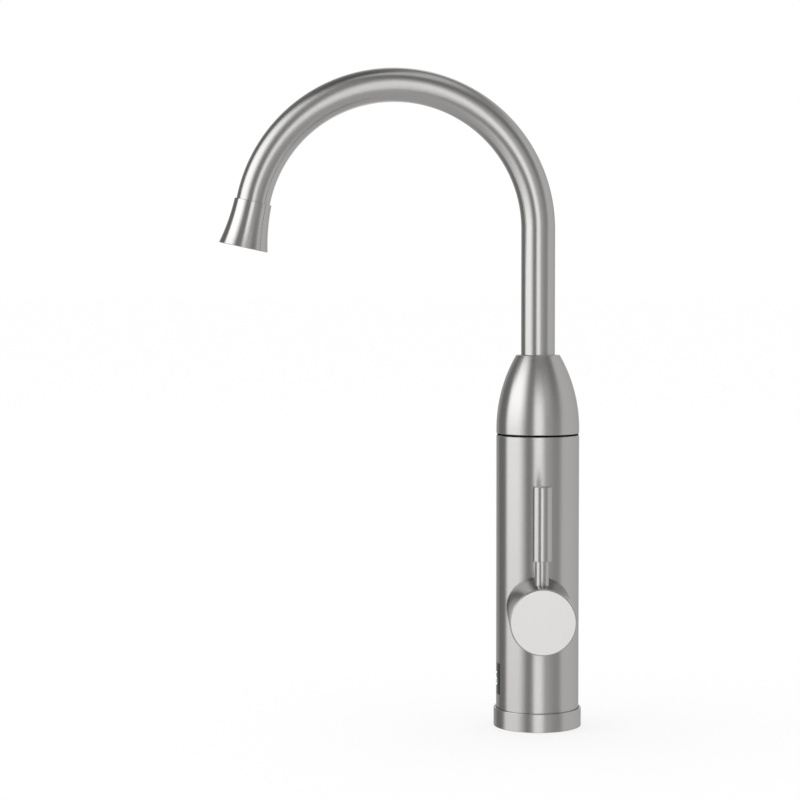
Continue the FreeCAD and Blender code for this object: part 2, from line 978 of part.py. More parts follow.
def make_spindle():
    flange_low = "upper_disc_top + seat_gap"
    body = turned_body(
        "spindle",
        ("0", flange_low),
        ("spindle_flange", flange_low),
        ("spindle_flange", "spindle_flange_top"),
        ("spindle_radius", "spindle_flange_top"),
        ("spindle_radius", "spindle_groove_low"),
        ("spindle_groove_floor", "spindle_groove_low"),
        ("spindle_groove_floor", "spindle_groove_high"),
        ("spindle_radius", "spindle_groove_high"),
        ("spindle_radius", "spindle_end"),
        ("spindle_screw_bore", "spindle_end"),
        ("spindle_screw_bore", "spindle_screw_start - edge_break"),
        ("0", "spindle_screw_start - edge_break"),
    )
    tongue = rectangle(
        "0 - drive_slot_half_long + loose_gap",
        "drive_slot_half_long - loose_gap",
        "0 - drive_slot_half_wide + loose_gap",
        "drive_slot_half_wide - loose_gap",
    )
    pad(body, "upper_disc_top - drive_slot_deep + loose_gap", flange_low, tongue)
    lay_on_valve_axis(body)


def make_spindle_seal():
    body = seal_ring(
        "spindle_seal",
        "spindle_groove_floor + spindle_seal_half",
        "(spindle_groove_low + spindle_groove_high) / 2",
        "spindle_seal_half",
    )
    lay_on_valve_axis(body)


# Handle and lever


def make_handle_cap():
    bore = "(handle_radius - handle_wall)"
    body = turned_body(
        "handle_cap",
        (bore, "handle_start"),
        ("handle_radius", "handle_start"),
        ("handle_radius", "handle_rim - edge_break"),
        ("handle_radius - edge_break", "handle_rim"),
        (bore, "handle_rim"),
        (bore, "handle_web_high"),
        ("spindle_screw_bore + loose_gap", "handle_web_high"),
        ("spindle_screw_bore + loose_gap", "spindle_end + loose_gap"),
        ("spindle_radius + seat_gap", "spindle_end + loose_gap"),
        ("spindle_radius + seat_gap", "hub_start"),
        ("hub_radius", "hub_start"),
        ("hub_radius", "handle_web_low"),
        (bore, "handle_web_low"),
    )
    # The lever stands in a tapped hole in the hub, through a hole in the rim's wall
    cut(
        body,
        "0 - handle_radius",
        "0 - lever_seat",
        circle("stem_radius + seat_gap", "0", "lever_place"),
        plane="XZ_Plane",
    )
    cut(
        body,
        "0 - lever_seat",
        "0 - lever_tip",
        circle("lever_thread + seat_gap", "0", "lever_place"),
        plane="XZ_Plane",
    )
    lay_on_valve_axis(body)


def make_handle_end_cap():
    skirt = "(handle_radius - handle_wall - loose_gap)"
    body = turned_body(
        "handle_end_cap",
        ("0", "handle_face - end_cap_thick"),
        (skirt + " - end_cap_skirt", "handle_face - end_cap_thick"),
        (skirt + " - end_cap_skirt", "end_cap_skirt_start"),
        (skirt, "end_cap_skirt_start"),
        (skirt, "handle_rim"),
        ("end_cap_radius", "handle_rim"),
        ("end_cap_radius", "handle_face - end_cap_edge"),
        ("end_cap_radius - end_cap_edge", "handle_face"),
        ("0", "handle_face"),
    )
    lay_on_valve_axis(body)


def make_spindle_screw():
    head_top = "handle_web_high + spindle_screw_head_high"
    body = turned_body(
        "spindle_screw",
        ("0", "spindle_screw_start"),
        ("spindle_screw_bore - seat_gap", "spindle_screw_start"),
        ("spindle_screw_bore - seat_gap", "handle_web_high"),
        ("spindle_screw_head", "handle_web_high"),
        ("spindle_screw_head", head_top),
        ("0", head_top),
    )
    cut(body, "handle_web_high + edge_break", head_top, hexagon("spindle_screw_flats"))
    lay_on_valve_axis(body)


def make_lever_stem():
    body = turned_body(
        "lever_stem",
        ("0", "valve_height + lever_tip + edge_break"),
        ("lever_thread", "valve_height + lever_tip + edge_break"),
        ("lever_thread", "valve_height + lever_seat"),
        ("stem_radius", "valve_height + lever_seat"),
        ("stem_radius", "stem_top"),
        ("0", "stem_top"),
    )
    stand_at(body, back="0 - lever_place")


def make_lever_grip():
    body = turned_body(
        "lever_grip",
        ("stem_radius + seat_gap", "grip_low"),
        ("grip_radius - edge_break", "grip_low"),
        ("grip_radius", "grip_low + edge_break"),
        ("grip_radius", "grip_high - grip_edge"),
        ("grip_radius - grip_edge", "grip_high"),
        ("0", "grip_high"),
        ("0", "stem_top + loose_gap"),
        ("stem_radius + seat_gap", "stem_top + loose_gap"),
    )
    stand_at(body, back="0 - lever_place")


# Heater


def element_places():
    """Where the legs of the two hairpin elements stand, across and along the pot."""
    for side in ("", "0 - "):
        yield "0 - left_element_place", side + "left_element_half"
        yield "right_element_place", side + "right_element_half"


def make_heater_pot():
    bore = "(pot_radius - pot_wall)"
    body = turned_body(
        "heater_pot",
        ("0", "pot_low"),
        ("pot_radius - pot_corner", "pot_low"),
        ("pot_radius", "pot_low + pot_corner"),
        ("pot_radius", "flange_low"),
        ("flange_radius", "flange_low"),
        ("flange_radius", "flange_top"),
        (bore, "flange_top"),
        (bore, "pot_low + pot_floor"),
        ("0", "pot_low + pot_floor"),
    )
    pad(body, "column_top + loose_gap", "pot_low", circle("boss_radius", "water_offset"))
    inside = "pot_low + pot_floor"
    cut(
        body,
        "column_top + loose_gap",
        inside,
        circle("outlet_spigot + seat_gap", "water_offset"),
    )
    legs = [circle("element_radius + seat_gap", *place) for place in element_places()]
    probe = circle("probe_radius + seat_gap", "0 - probe_across", "probe_back")
    cut(body, "pot_low", inside, probe, *legs)
    screw_hole = circle("lid_screw_radius + seat_gap", "lid_screw_place")
    repeat_round(body, cut(body, "flange_low", "flange_top", screw_hole), 4)


def make_heating_elements():
    body = new_body("heating_elements")
    hairpins = (
        ("0 - left_element_place", "left_element_half", "left_element_top"),
        ("right_element_place", "right_element_half", "right_element_top"),
    )
    for place, half, top in hairpins:
        path = outline(
            ("0 - " + half, "terminal_low"),
            ("0 - " + half, top, half, RIGHT),
            ("0", top + " + " + half, half, RIGHT),
            (half, top),
            (half, "terminal_low"),
            closed=False,
        )
        leg = circle("element_radius", place, "0 - " + half)
        sweep(body, [leg], "XY_Plane", path, "YZ_Plane", low="terminal_low", lift=place)


def make_element_nuts():
    body = new_body("element_nuts")
    nuts = [hexagon("element_nut_flats", *place) for place in element_places()]
    pad(body, "element_nut_low", "pot_low", *nuts)
    legs = [circle("element_radius + seat_gap", *place) for place in element_places()]
    cut(body, "element_nut_low", "pot_low", *legs)


def make_thermal_cutout():
    body = new_body("thermal_cutout")
    pad(body, "cutout_low", "pot_low", circle("cutout_radius"))
    tabs = []
    for side in ("", "0 - "):
        place = side + "cutout_tab_place"
        tabs.append(
            rectangle(
                "0 - cutout_tab_half_wide",
                "cutout_tab_half_wide",
                place + " - cutout_tab_half_thick",
                place + " + cutout_tab_half_thick",
            )
        )
    pad(body, "cutout_tab_low", "cutout_low", *tabs)
    stand_at(body, "0 - cutout_place")


def make_temperature_probe():
    body = turned_body(
        "temperature_probe",
        ("0", "probe_head_low"),
        ("probe_head", "probe_head_low"),
        ("probe_head", "pot_low"),
        ("probe_radius", "pot_low"),
        ("probe_radius", "probe_top"),
        ("0", "probe_top"),
    )
    stand_at(body, "0 - probe_across", "probe_back")


def make_heater_seal():
    seal_ring(
        "heater_seal",
        "lid_seal_radius",
        "flange_top + lid_seal_half",
        "lid_seal_half",
    )


def make_heater_lid():
    body = turned_body(
        "heater_lid",
        ("swivel_spigot + seat_gap", "flange_top"),
        ("lid_seal_radius - lid_groove_half", "flange_top"),
        ("lid_seal_radius - lid_groove_half", "flange_top + lid_groove_deep"),
        ("lid_seal_radius + lid_groove_half", "flange_top + lid_groove_deep"),
        ("lid_seal_radius + lid_groove_half", "flange_top"),
        ("flange_radius", "flange_top"),
        ("flange_radius", "lid_top"),
        ("swivel_spigot + seat_gap", "lid_top"),
    )
    screw_hole = circle("lid_screw_radius + seat_gap", "lid_screw_place")
    repeat_round(body, cut(body, "flange_top", "lid_top", screw_hole), 4)


def make_lid_screws():
    body = new_body("lid_screws")
    profile = outline(
        ("0", "lid_screw_tip"),
        ("lid_screw_radius", "lid_screw_tip"),
        ("lid_screw_radius", "lid_top"),
        ("lid_screw_head", "lid_top"),
        ("lid_screw_head", "lid_top + lid_screw_head_high"),
        ("0", "lid_top + lid_screw_head_high"),
    )
    repeat_round(body, turn(body, profile, across="lid_screw_place"), 4)


# Control electronics and display


def make_flow_switch():
    body = new_body("flow_switch")
    case = rectangle("0 - switch_half_wide", "switch_half_wide", "barrel_back", "switch_back")
    pad(body, "switch_low", "switch_high", case)
    pins = []
    for side in ("", "0 - "):
        place = side + "switch_pin_place"
        pins.append(
            rectangle(
                place + " - switch_pin_half_wide",
                place + " + switch_pin_half_wide",
                "switch_pin_back - switch_pin_half_thick",
                "switch_pin_back + switch_pin_half_thick",
            )
        )
    pad(body, "switch_high", "switch_pin_high", *pins)


def make_heat_sink():
    body = new_body("heat_sink")
    block = rectangle("sink_left", "sink_right", "0 - sink_half", "sink_half")
    pad(body, "sink_low", "sink_high", block)
    # The block is saddled to the cold riser
    cut(body, "sink_low", "sink_high", circle("riser_radius + seat_gap", "0 - water_offset"))


def make_power_triac():
    body = new_body("power_triac")
    case = rectangle("sink_right", "triac_outer", "0 - triac_half", "triac_half")
    pad(body, "sink_low", "triac_high", case)
    legs = []
    for step in (-1, 0, 1):
        place = "%d * triac_leg_pitch" % step
        legs.append(
            rectangle(
                "triac_outer", "board_inner", place + " - triac_leg_half", place + " + triac_leg_half"
            )
        )
    pad(body, "sink_low", "sink_low + triac_leg_thick", *legs)


def make_power_relay():
    body = new_body("power_relay")
    case = rectangle("relay_inner", "board_inner", "0 - relay_half", "relay_half")
    pad(body, "relay_low", "relay_high", case)


def make_control_board():
    body = new_body("control_board")
    plate = rectangle(
        "board_inner", "board_inner + board_thick", "0 - board_half", "board_half"
    )
    pad(body, "board_low", "board_high", plate)


def make_display_board():
    body = new_body("display_board")
    plate = rectangle(
        "0 - display_board_outer",
        "0 - display_board_inner",
        "0 - display_board_half",
        "display_board_half",
    )
    pad(body, "display_board_low", "display_board_high", plate)


def make_display_module():
    body = new_body("display_module")
    case = rectangle("0 - digits_outer", "0 - display_board_outer", "0 - digits_half", "digits_half")
    pad(body, "digits_low", "digits_high", case)


def outside_of(radius):
    """The space round a radius, over the window's whole height."""
    return rectangle(radius, "window_reach * 2", "window_low - window_lip * 2", "window_high * 2")


def make_display_window():
    body = new_body("display_window")
    lip = rounded_rectangle(
        "window_half + window_lip",
        "window_low - window_lip",
        "window_high + window_lip",
        "window_corner",
    )
    pane = rounded_rectangle(
        "window_half - loose_gap",
        "window_low + loose_gap",
        "window_high - loose_gap",
        "window_corner",
    )
    # A lip inside the shell, then the pane that fills the shell's cut-out flush
    pad(body, "0 - window_reach", "0 - window_inset", lip, plane="YZ_Plane")
    groove(body, outside_of(SHELL_BORE + " - seat_gap"))
    pad(body, "0 - window_reach", "0 - window_inset", pane, plane="YZ_Plane")
    groove(body, outside_of("body_radius"))
    inside = rectangle(
        "0",
        SHELL_BORE + " - window_lip_wall",
        "window_low - window_lip * 2",
        "window_high * 2",
    )
    groove(body, inside)


# Body shell, seam and dome


def make_body_shell():
    body = turned_body(
        "body_shell",
        (SHELL_BORE, "shelf_height"),
        ("body_radius", "shelf_height"),
        ("body_radius", "body_top - edge_break"),
        ("body_radius - edge_break", "body_top"),
        (SHELL_BORE, "body_top"),
    )
    cut(
        body,
        "0",
        "window_reach",
        circle("barrel_radius + dome_hole_gap", "0", "valve_height"),
        plane="XZ_Plane",
    )
    opening = rounded_rectangle("window_half", "window_low", "window_high", "window_corner")
    cut(body, "0 - window_reach", "0", opening, plane="YZ_Plane")


def make_seam_ring():
    outer = SHELL_BORE + " - dome_hole_gap"
    web = "body_radius - seam_depth"
    turned_body(
        "seam_ring",
        (outer + " - seam_wall", "body_top - seam_lap_low"),
        (outer, "body_top - seam_lap_low"),
        (outer, "body_top"),
        (web, "body_top"),
        (web, DOME_FOOT),
        (outer, DOME_FOOT),
        (outer, DOME_FOOT + " + seam_lap_high"),
        (outer + " - seam_wall", DOME_FOOT + " + seam_lap_high"),
    )


def dome_reach(arc, height):
    """The dome's radius at a height, on an arc that starts upright at its foot."""
    return "body_radius - dome_arc + sqrt((%s)^2 - (%s - dome_spring)^2)" % (arc, height)


def make_dome_cap():
    edge = "(dome_top - dome_edge)"
    ceiling = "(dome_top - dome_wall)"
    waist = "(dome_spring + dome_top) / 2"
    inner_arc = "dome_arc - dome_wall"
    hole = "tube_radius + dome_hole_gap"
    turned_body(
        "dome_cap",
        (DOME_BORE, DOME_FOOT),
        ("body_radius - edge_break", DOME_FOOT),
        ("body_radius", DOME_FOOT + " + edge_break"),
        ("body_radius", "dome_spring", "dome_arc", LEFT),
        (dome_reach("dome_arc", edge), edge),
        (dome_reach("dome_arc", edge) + " - dome_edge", "dome_top"),
        (hole, "dome_top"),
        (hole, ceiling),
        (dome_reach(inner_arc, ceiling), ceiling),
        (dome_reach(inner_arc, waist), waist),
        (DOME_BORE, "dome_spring"),
    )


# Swivel joint and spout


def make_swivel_socket():
    turned_body(
        "swivel_socket",
        ("swivel_passage", "flange_top"),
        ("swivel_spigot", "flange_top"),
        ("swivel_spigot", "lid_top"),
        ("swivel_flange", "lid_top"),
        ("swivel_flange", "swivel_flange_top"),
        ("swivel_neck", "swivel_flange_top"),
        ("swivel_neck", "swivel_top"),
        ("swivel_bore", "swivel_top"),
        ("swivel_bore", "swivel_floor"),
        ("swivel_passage", "swivel_floor"),
    )


def make_slide_ring():
    turned_body(
        "slide_ring",
        ("slide_ring_inner", "swivel_top"),
        ("slide_ring_outer", "swivel_top"),
        ("slide_ring_outer", "swivel_top + slide_ring_thick"),
        ("slide_ring_inner", "swivel_top + slide_ring_thick"),
    )


def make_swivel_nut():
    turned_body(
        "swivel_nut",
        ("swivel_neck + seat_gap", "swivel_nut_low"),
        ("swivel_nut_radius", "swivel_nut_low"),
        ("swivel_nut_radius", "swivel_nut_top"),
        ("swivel_nut_mouth", "swivel_nut_top"),
        ("swivel_nut_mouth", "swivel_nut_roof"),
        ("swivel_nut_bore", "swivel_nut_roof"),
        ("swivel_nut_bore", "swivel_top"),
        ("swivel_neck + seat_gap", "swivel_top"),
    )


def make_spout_ferrule():
    corners = [
        ("ferrule_bore", "ferrule_low"),
        ("ferrule_radius - ferrule_chamfer", "ferrule_low"),
        ("ferrule_radius", "ferrule_low + ferrule_chamfer"),
    ]
    for height in ("low_seal_height", "high_seal_height"):
        corners += [
            ("ferrule_radius", height + " - swivel_groove_half"),
            ("swivel_groove_floor", height + " - swivel_groove_half"),
            ("swivel_groove_floor", height + " + swivel_groove_half"),
            ("ferrule_radius", height + " + swivel_groove_half"),
        ]
    corners += [
        ("ferrule_radius", "ferrule_collar_low"),
        ("ferrule_collar", "ferrule_collar_low"),
        ("ferrule_collar", "ferrule_top"),
        ("tube_radius", "ferrule_top"),
        ("tube_radius", "tube_low"),
        ("ferrule_bore", "tube_low"),
    ]
    turned_body("spout_ferrule", *corners)


def make_spout_seals():
    body = new_body("spout_seals")
    for height in ("low_seal_height", "high_seal_height"):
        centre = "swivel_groove_floor + swivel_seal_half"
        turn(body, seal_section(centre, height, "swivel_seal_half"))


def make_spout_tube():
    body = new_body("spout_tube")
    turn_text = "bend_turn * 1 deg"
    end_across = "bend_radius * (cos(%s) - 1)" % turn_text
    end_up = "spout_rise + bend_radius * sin(%s)" % turn_text
    path = outline(
        ("0", "tube_low"),
        ("0", "spout_rise", "bend_radius", LEFT),
        (end_across, end_up),
        (
            end_across + " - tube_tail * sin(%s)" % turn_text,
            end_up + " + tube_tail * cos(%s)" % turn_text,
        ),
        closed=False,
    )
    section = [circle("tube_radius"), circle("tube_radius - tube_wall")]
    sweep(body, section, "XY_Plane", path, "XZ_Plane", low="tube_low")


def flare_reach(along):
    """The nozzle's radius along its axis, on an arc that starts parallel to it."""
    return "nozzle_root + nozzle_flare - sqrt(nozzle_flare^2 - (%s)^2)" % along


def make_nozzle_shell():
    start = "nozzle_start + edge_break"
    lip = "nozzle_end - nozzle_edge"
    body = turned_body(
        "nozzle_shell",
        ("tube_radius + seat_gap", "nozzle_start"),
        (flare_reach(start) + " - edge_break", "nozzle_start"),
        (flare_reach(start), start, "nozzle_flare", RIGHT),
        (flare_reach(lip), lip),
        (flare_reach(lip) + " - nozzle_edge", "nozzle_end"),
        ("nozzle_chamber + edge_break", "nozzle_end"),
        ("nozzle_chamber", "nozzle_end - edge_break"),
        ("nozzle_chamber", "nozzle_chamber_start"),
        ("nozzle_throat", "nozzle_chamber_start"),
        ("nozzle_throat", "tube_tail"),
        ("tube_radius + seat_gap", "tube_tail"),
    )
    hang_on_spout(body)


def make_aerator_washer():
    body = turned_body(
        "aerator_washer",
        ("aerator_washer_bore", "nozzle_chamber_start"),
        ("aerator_radius", "nozzle_chamber_start"),
        ("aerator_radius", "aerator_washer_end"),
        ("aerator_washer_bore", "aerator_washer_end"),
    )
    hang_on_spout(body)


def drill_jets(body, low, high, radius, rings):
    """Drill a centre hole, and rings of holes of a given reach and count."""
    cut(body, low, high, circle(radius))
    for reach, count in rings:
        repeat_round(body, cut(body, low, high, circle(radius, reach)), count)


def make_aerator_screen():
    body = new_body("aerator_screen")
    pad(body, "aerator_washer_end", "screen_end", circle("aerator_radius"))
    drill_jets(body, "aerator_washer_end", "screen_end", "screen_hole", [("screen_ring", 6)])
    hang_on_spout(body)


def make_aerator_insert():
    body = new_body("aerator_insert")
    pad(body, "screen_end", "insert_end", circle("aerator_radius"))
    floor = "insert_end - insert_recess"
    cut(body, floor, "insert_end", circle("aerator_radius - insert_rim"))
    rings = [("jet_inner_ring", 6), ("jet_outer_ring", 12)]
    drill_jets(body, "screen_end", floor, "jet_radius", rings)
    hang_on_spout(body)


def make_sub_parts():
    make_base_ring()
    make_base_gasket()
    make_base_plate()
    make_base_screws()
    make_inlet_shank()
    make_shank_seal()
    make_inlet_filter()
    make_deck_washer()
    make_clamp_plate()
    make_fixing_nut()
    make_cord_gland()
    make_valve_body()
    make_outlet_seal()
    make_valve_bonnet()
    make_valve_sleeve()
    make_sleeve_nut()
    make_cartridge_seal()
    make_lower_disc()
    make_cartridge_body()
    make_cartridge_nut()
    make_upper_disc()
    make_spindle()
    make_spindle_seal()
    make_handle_cap()
    make_handle_end_cap()
    make_spindle_screw()
    make_lever_stem()
    make_lever_grip()
    make_heater_pot()
    make_heating_elements()
    make_element_nuts()
    make_thermal_cutout()
    make_temperature_probe()
    make_heater_seal()
    make_heater_lid()
    make_lid_screws()
    make_flow_switch()
    make_heat_sink()
    make_power_triac()
    make_power_relay()
    make_control_board()
    make_display_board()
    make_display_module()
    make_display_window()
    make_body_shell()
    make_seam_ring()
    make_dome_cap()
    make_swivel_socket()
    make_slide_ring()
    make_swivel_nut()
    make_spout_ferrule()
    make_spout_seals()
    make_spout_tube()
    make_nozzle_shell()
    make_aerator_washer()
    make_aerator_screen()
    make_aerator_insert()


def check_model():
    """Stop on any object that failed, and on any sub-part without a valid shape."""
    for item in doc.Objects:
        if "Invalid" in item.State or "Error" in item.State:
            raise RuntimeError("%s failed: %s" % (item.Name, item.State))
    for body in sub_parts:
        if body.Shape.isNull() or not body.Shape.isValid():
            raise RuntimeError("%s has no valid shape" % body.Label)


def write_steps():
    os.makedirs("parts", exist_ok=True)
    for body in sub_parts:
        body.Shape.exportStep(os.path.join("parts", body.Label + ".step"))


fill_sheet()
make_sub_parts()
doc.recompute()
check_model()
write_steps()
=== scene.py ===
import json
import math

import bmesh
import bpy
from mathutils import Matrix, Vector


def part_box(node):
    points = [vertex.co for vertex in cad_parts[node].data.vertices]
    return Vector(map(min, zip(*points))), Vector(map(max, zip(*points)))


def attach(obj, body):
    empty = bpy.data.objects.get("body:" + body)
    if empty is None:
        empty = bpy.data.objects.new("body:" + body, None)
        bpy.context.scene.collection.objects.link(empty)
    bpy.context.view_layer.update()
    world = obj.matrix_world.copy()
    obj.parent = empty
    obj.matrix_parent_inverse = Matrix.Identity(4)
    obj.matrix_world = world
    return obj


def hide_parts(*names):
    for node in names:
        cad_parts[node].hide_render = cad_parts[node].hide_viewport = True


# Looks for the instant hot water tap. The tap's own pieces are drawn in millimetres and scaled
# where a mesh is made; the studio is in metres. A piece that is turned on a lathe has its axis
# along its own +Z.

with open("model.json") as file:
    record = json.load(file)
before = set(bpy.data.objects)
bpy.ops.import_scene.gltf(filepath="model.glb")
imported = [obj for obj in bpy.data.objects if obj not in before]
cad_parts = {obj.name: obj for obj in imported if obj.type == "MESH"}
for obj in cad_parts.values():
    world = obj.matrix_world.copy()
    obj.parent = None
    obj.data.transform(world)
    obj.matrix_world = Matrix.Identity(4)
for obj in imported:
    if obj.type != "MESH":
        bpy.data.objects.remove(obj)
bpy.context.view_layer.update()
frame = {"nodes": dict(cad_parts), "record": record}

MM = 0.001
FULL_TURN = 2 * math.pi
ROUND_STEPS = 144
THREAD_STEPS = 72
FILLET_STEPS = 6
FILLET_HOLD = 0.02
BEND_STEPS = 100
DOME_STEPS = 40
FLARE_STEPS = 30
MERGE_DISTANCE = 1e-7
SHARP_ANGLE = math.radians(28)

BODY = "tap_body"
SPOUT = "spout"
HANDLE = "handle"


def node_size(node):
    """A node's lowest and highest corners at rest, in millimetres."""
    return [Vector(corner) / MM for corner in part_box(node)]


# Sizes taken from the solids
BODY_RADIUS = node_size("body_shell")[1].x
BASE_RADIUS = node_size("base_ring")[1].x
BASE_TOP = node_size("base_ring")[1].z
DOME_FOOT = node_size("dome_cap")[0].z
DOME_TOP = node_size("dome_cap")[1].z
TUBE_RADIUS = node_size("spout_tube")[1].y
TUBE_LOW = node_size("spout_tube")[0].z
TUBE_HIGH = node_size("spout_tube")[1].z
HANDLE_RADIUS = node_size("handle_cap")[1].x
HANDLE_START = -node_size("handle_cap")[1].y
HANDLE_RIM = -node_size("handle_cap")[0].y
HANDLE_FACE = -node_size("handle_end_cap")[0].y
END_CAP_RADIUS = node_size("handle_end_cap")[1].x
END_CAP_SKIRT_START = -node_size("handle_end_cap")[1].y
SPINDLE_END = -node_size("spindle")[0].y
STEM_RADIUS = node_size("lever_stem")[1].x
STEM_FOOT = node_size("lever_stem")[0].z
STEM_TOP = node_size("lever_stem")[1].z
GRIP_RADIUS = node_size("lever_grip")[1].x
GRIP_LOW = node_size("lever_grip")[0].z
GRIP_HIGH = node_size("lever_grip")[1].z
LEVER_PLACE = -sum(node_size("lever_stem"), Vector()).y / 2
VALVE_HEIGHT = sum(node_size("handle_cap"), Vector()).z / 2
SHANK_FOOT = node_size("inlet_shank")[0].z
SHANK_HEAD = node_size("inlet_shank")[1].z
SHANK_FLANGE = node_size("inlet_shank")[1].y
SHANK_PLACE = sum(node_size("inlet_shank"), Vector()).x / 2
NUT_LOW = node_size("fixing_nut")[0].z
NUT_HIGH = node_size("fixing_nut")[1].z

# Sizes that the solids' boxes do not show
SEAT_GAP = 0.05
DOME_SPRING = 180.0
DOME_ARC = 89.0
DOME_WALL = 1.4
DOME_HOLE_GAP = 0.3
TUBE_WALL = 1.0
TUBE_TAIL = 14.0
BEND_RADIUS = 86.33
BEND_TURN = math.radians(167.6)
SPOUT_RISE = TUBE_HIGH - TUBE_RADIUS - BEND_RADIUS
NOZZLE_START = 1.9
NOZZLE_END = 30.0
NOZZLE_ROOT = 11.25
NOZZLE_FLARE = 123.5
NOZZLE_CHAMBER = 11.4
NOZZLE_CHAMBER_START = 18.6
NOZZLE_THROAT = 9.2

# Axes of the turned pieces, in metres
UPRIGHT = Matrix.Identity(4)
VALVE_AXIS = Matrix.Translation((0, 0, VALVE_HEIGHT * MM)) @ Matrix.Rotation(math.radians(90), 4, "X")
LEVER_AXIS = Matrix.Translation((0, -LEVER_PLACE * MM, 0))
SHANK_AXIS = Matrix.Translation((SHANK_PLACE * MM, 0, 0))
BEND_END = Vector(
    (
        BEND_RADIUS * (math.cos(BEND_TURN) - 1),
        0,
        SPOUT_RISE + BEND_RADIUS * math.sin(BEND_TURN),
    )
)
NOZZLE_AXIS = Matrix.Translation(BEND_END * MM) @ Matrix.Rotation(-BEND_TURN, 4, "Y")


# Shapes


def fillet(before, corner, after, radius):
    """The arc that rounds a corner, with points beside it that keep its neighbours' shading straight."""
    back = (before - corner).normalized()
    on = (after - corner).normalized()
    half = back.angle(on) / 2
    centre = corner + (back + on).normalized() * (radius / math.sin(half))
    reach = radius / math.tan(half)
    first = (corner + back * reach - centre).normalized()
    last = (corner + on * reach - centre).normalized()
    shares = [step / FILLET_STEPS for step in range(FILLET_STEPS + 1)]
    arc = [centre + first.slerp(last, share) * radius for share in shares]
    hold = reach + FILLET_HOLD
    return [corner + back * hold, *arc, corner + on * hold]


def rounded(corners):
    """The points of a closed outline, with each (radius, height, fillet) corner rounded."""
    plain = [Vector(corner[:2]) for corner in corners]
    points = []
    for i, corner in enumerate(corners):
        if len(corner) == 2:
            points.append(plain[i])
            continue
        after = plain[(i + 1) % len(plain)]
        points += fillet(plain[i - 1], plain[i], after, corner[2])
    return points


def finish_mesh(mesh):
    """Close up doubled points, face outwards and shade smoothly up to the sharp edges."""
    shape = bmesh.new()
    shape.from_mesh(mesh)
    bmesh.ops.remove_doubles(shape, verts=shape.verts, dist=MERGE_DISTANCE)
    bmesh.ops.dissolve_degenerate(shape, edges=shape.edges, dist=MERGE_DISTANCE)
    bmesh.ops.recalc_face_normals(shape, faces=shape.faces)
    shape.to_mesh(mesh)
    shape.free()
    mesh.shade_smooth()
    mesh.set_sharp_from_angle(angle=SHARP_ANGLE)


def new_piece(name, vertices, faces, axis=UPRIGHT):
    """An object of millimetre points, set on an axis."""
    mesh = bpy.data.meshes.new(name)
    mesh.from_pydata([Vector(vertex) * MM for vertex in vertices], [], faces)
    finish_mesh(mesh)
    piece = bpy.data.objects.new(name, mesh)
    bpy.context.scene.collection.objects.link(piece)
    piece.matrix_world = axis
    return piece


def ring_faces(rings, width):
    """Four-cornered faces between neighbouring rings of points, closed both ways."""
    faces = []
    for i in range(rings):
        low = i * width
        high = (i + 1) % rings * width
        for j in range(width):
            k = (j + 1) % width
            faces.append((low + j, low + k, high + k, high + j))
    return faces


def turned(name, outline_at, axis=UPRIGHT, steps=ROUND_STEPS):
    """The solid that an outline, which may change with the angle, makes about the axis."""
    vertices = []
    for step in range(steps):
        angle = FULL_TURN * step / steps
        outline = outline_at(angle)
        for radius, height in outline:
            vertices.append((radius * math.cos(angle), radius * math.sin(angle), height))
    return new_piece(name, vertices, ring_faces(steps, len(outline)), axis)


def lathe(name, corners, axis=UPRIGHT):
    """The solid that one closed outline makes about the axis."""
    outline = rounded(corners)
    return turned(name, lambda angle: outline, axis)


def dome_outline(arc, low, high):
    """Points up the dome's arc, which starts upright at its spring line."""
    first = math.asin((low - DOME_SPRING) / arc)
    last = math.asin((high - DOME_SPRING) / arc)
    centre = BODY_RADIUS - DOME_ARC
    points = []
    for step in range(DOME_STEPS + 1):
        angle = first + (last - first) * step / DOME_STEPS
        points.append((centre + arc * math.cos(angle), DOME_SPRING + arc * math.sin(angle)))
    return points


def flare_reach(along):
    """The nozzle's radius along its axis, on an arc that starts parallel to it."""
    return NOZZLE_ROOT + NOZZLE_FLARE - math.sqrt(NOZZLE_FLARE**2 - along**2)


def flare_outline(low, high):
    """Points down the nozzle's flare."""
    places = [low + (high - low) * step / FLARE_STEPS for step in range(FLARE_STEPS + 1)]
    return [(flare_reach(place), place) for place in places]


# Steel pieces that are seen


def make_base_ring():
    bore = 22.5
    shelf = 3.0
    seat = 25.3
    gasket_inner = 23.4
    gasket_outer = 25.2
    gasket_deep = 1.2
    foot_edge = 0.3
    top_edge = 0.5
    seat_edge = 0.15
    return lathe(
        "base_ring_turned",
        [
            (bore, 0),
            (gasket_inner, 0),
            (gasket_inner, gasket_deep),
            (gasket_outer, gasket_deep),
            (gasket_outer, 0),
            (BASE_RADIUS, 0, foot_edge),
            (BASE_RADIUS, BASE_TOP, top_edge),
            (seat, BASE_TOP, seat_edge),
            (seat, shelf),
            (bore, shelf),
        ],
    )


def make_dome_cap():
    outer = dome_outline(DOME_ARC, DOME_SPRING, DOME_TOP)
    inner = dome_outline(DOME_ARC - DOME_WALL, DOME_SPRING, DOME_TOP - DOME_WALL)
    hole = TUBE_RADIUS + DOME_HOLE_GAP
    foot_edge = 0.3
    shoulder_edge = 0.9
    hole_edge = 0.2
    return lathe(
        "dome_cap_turned",
        [
            (BODY_RADIUS - DOME_WALL, DOME_FOOT),
            (BODY_RADIUS, DOME_FOOT, foot_edge),
            *outer[:-1],
            (*outer[-1], shoulder_edge),
            (hole, DOME_TOP, hole_edge),
            (hole, DOME_TOP - DOME_WALL),
            *reversed(inner),
        ],
    )


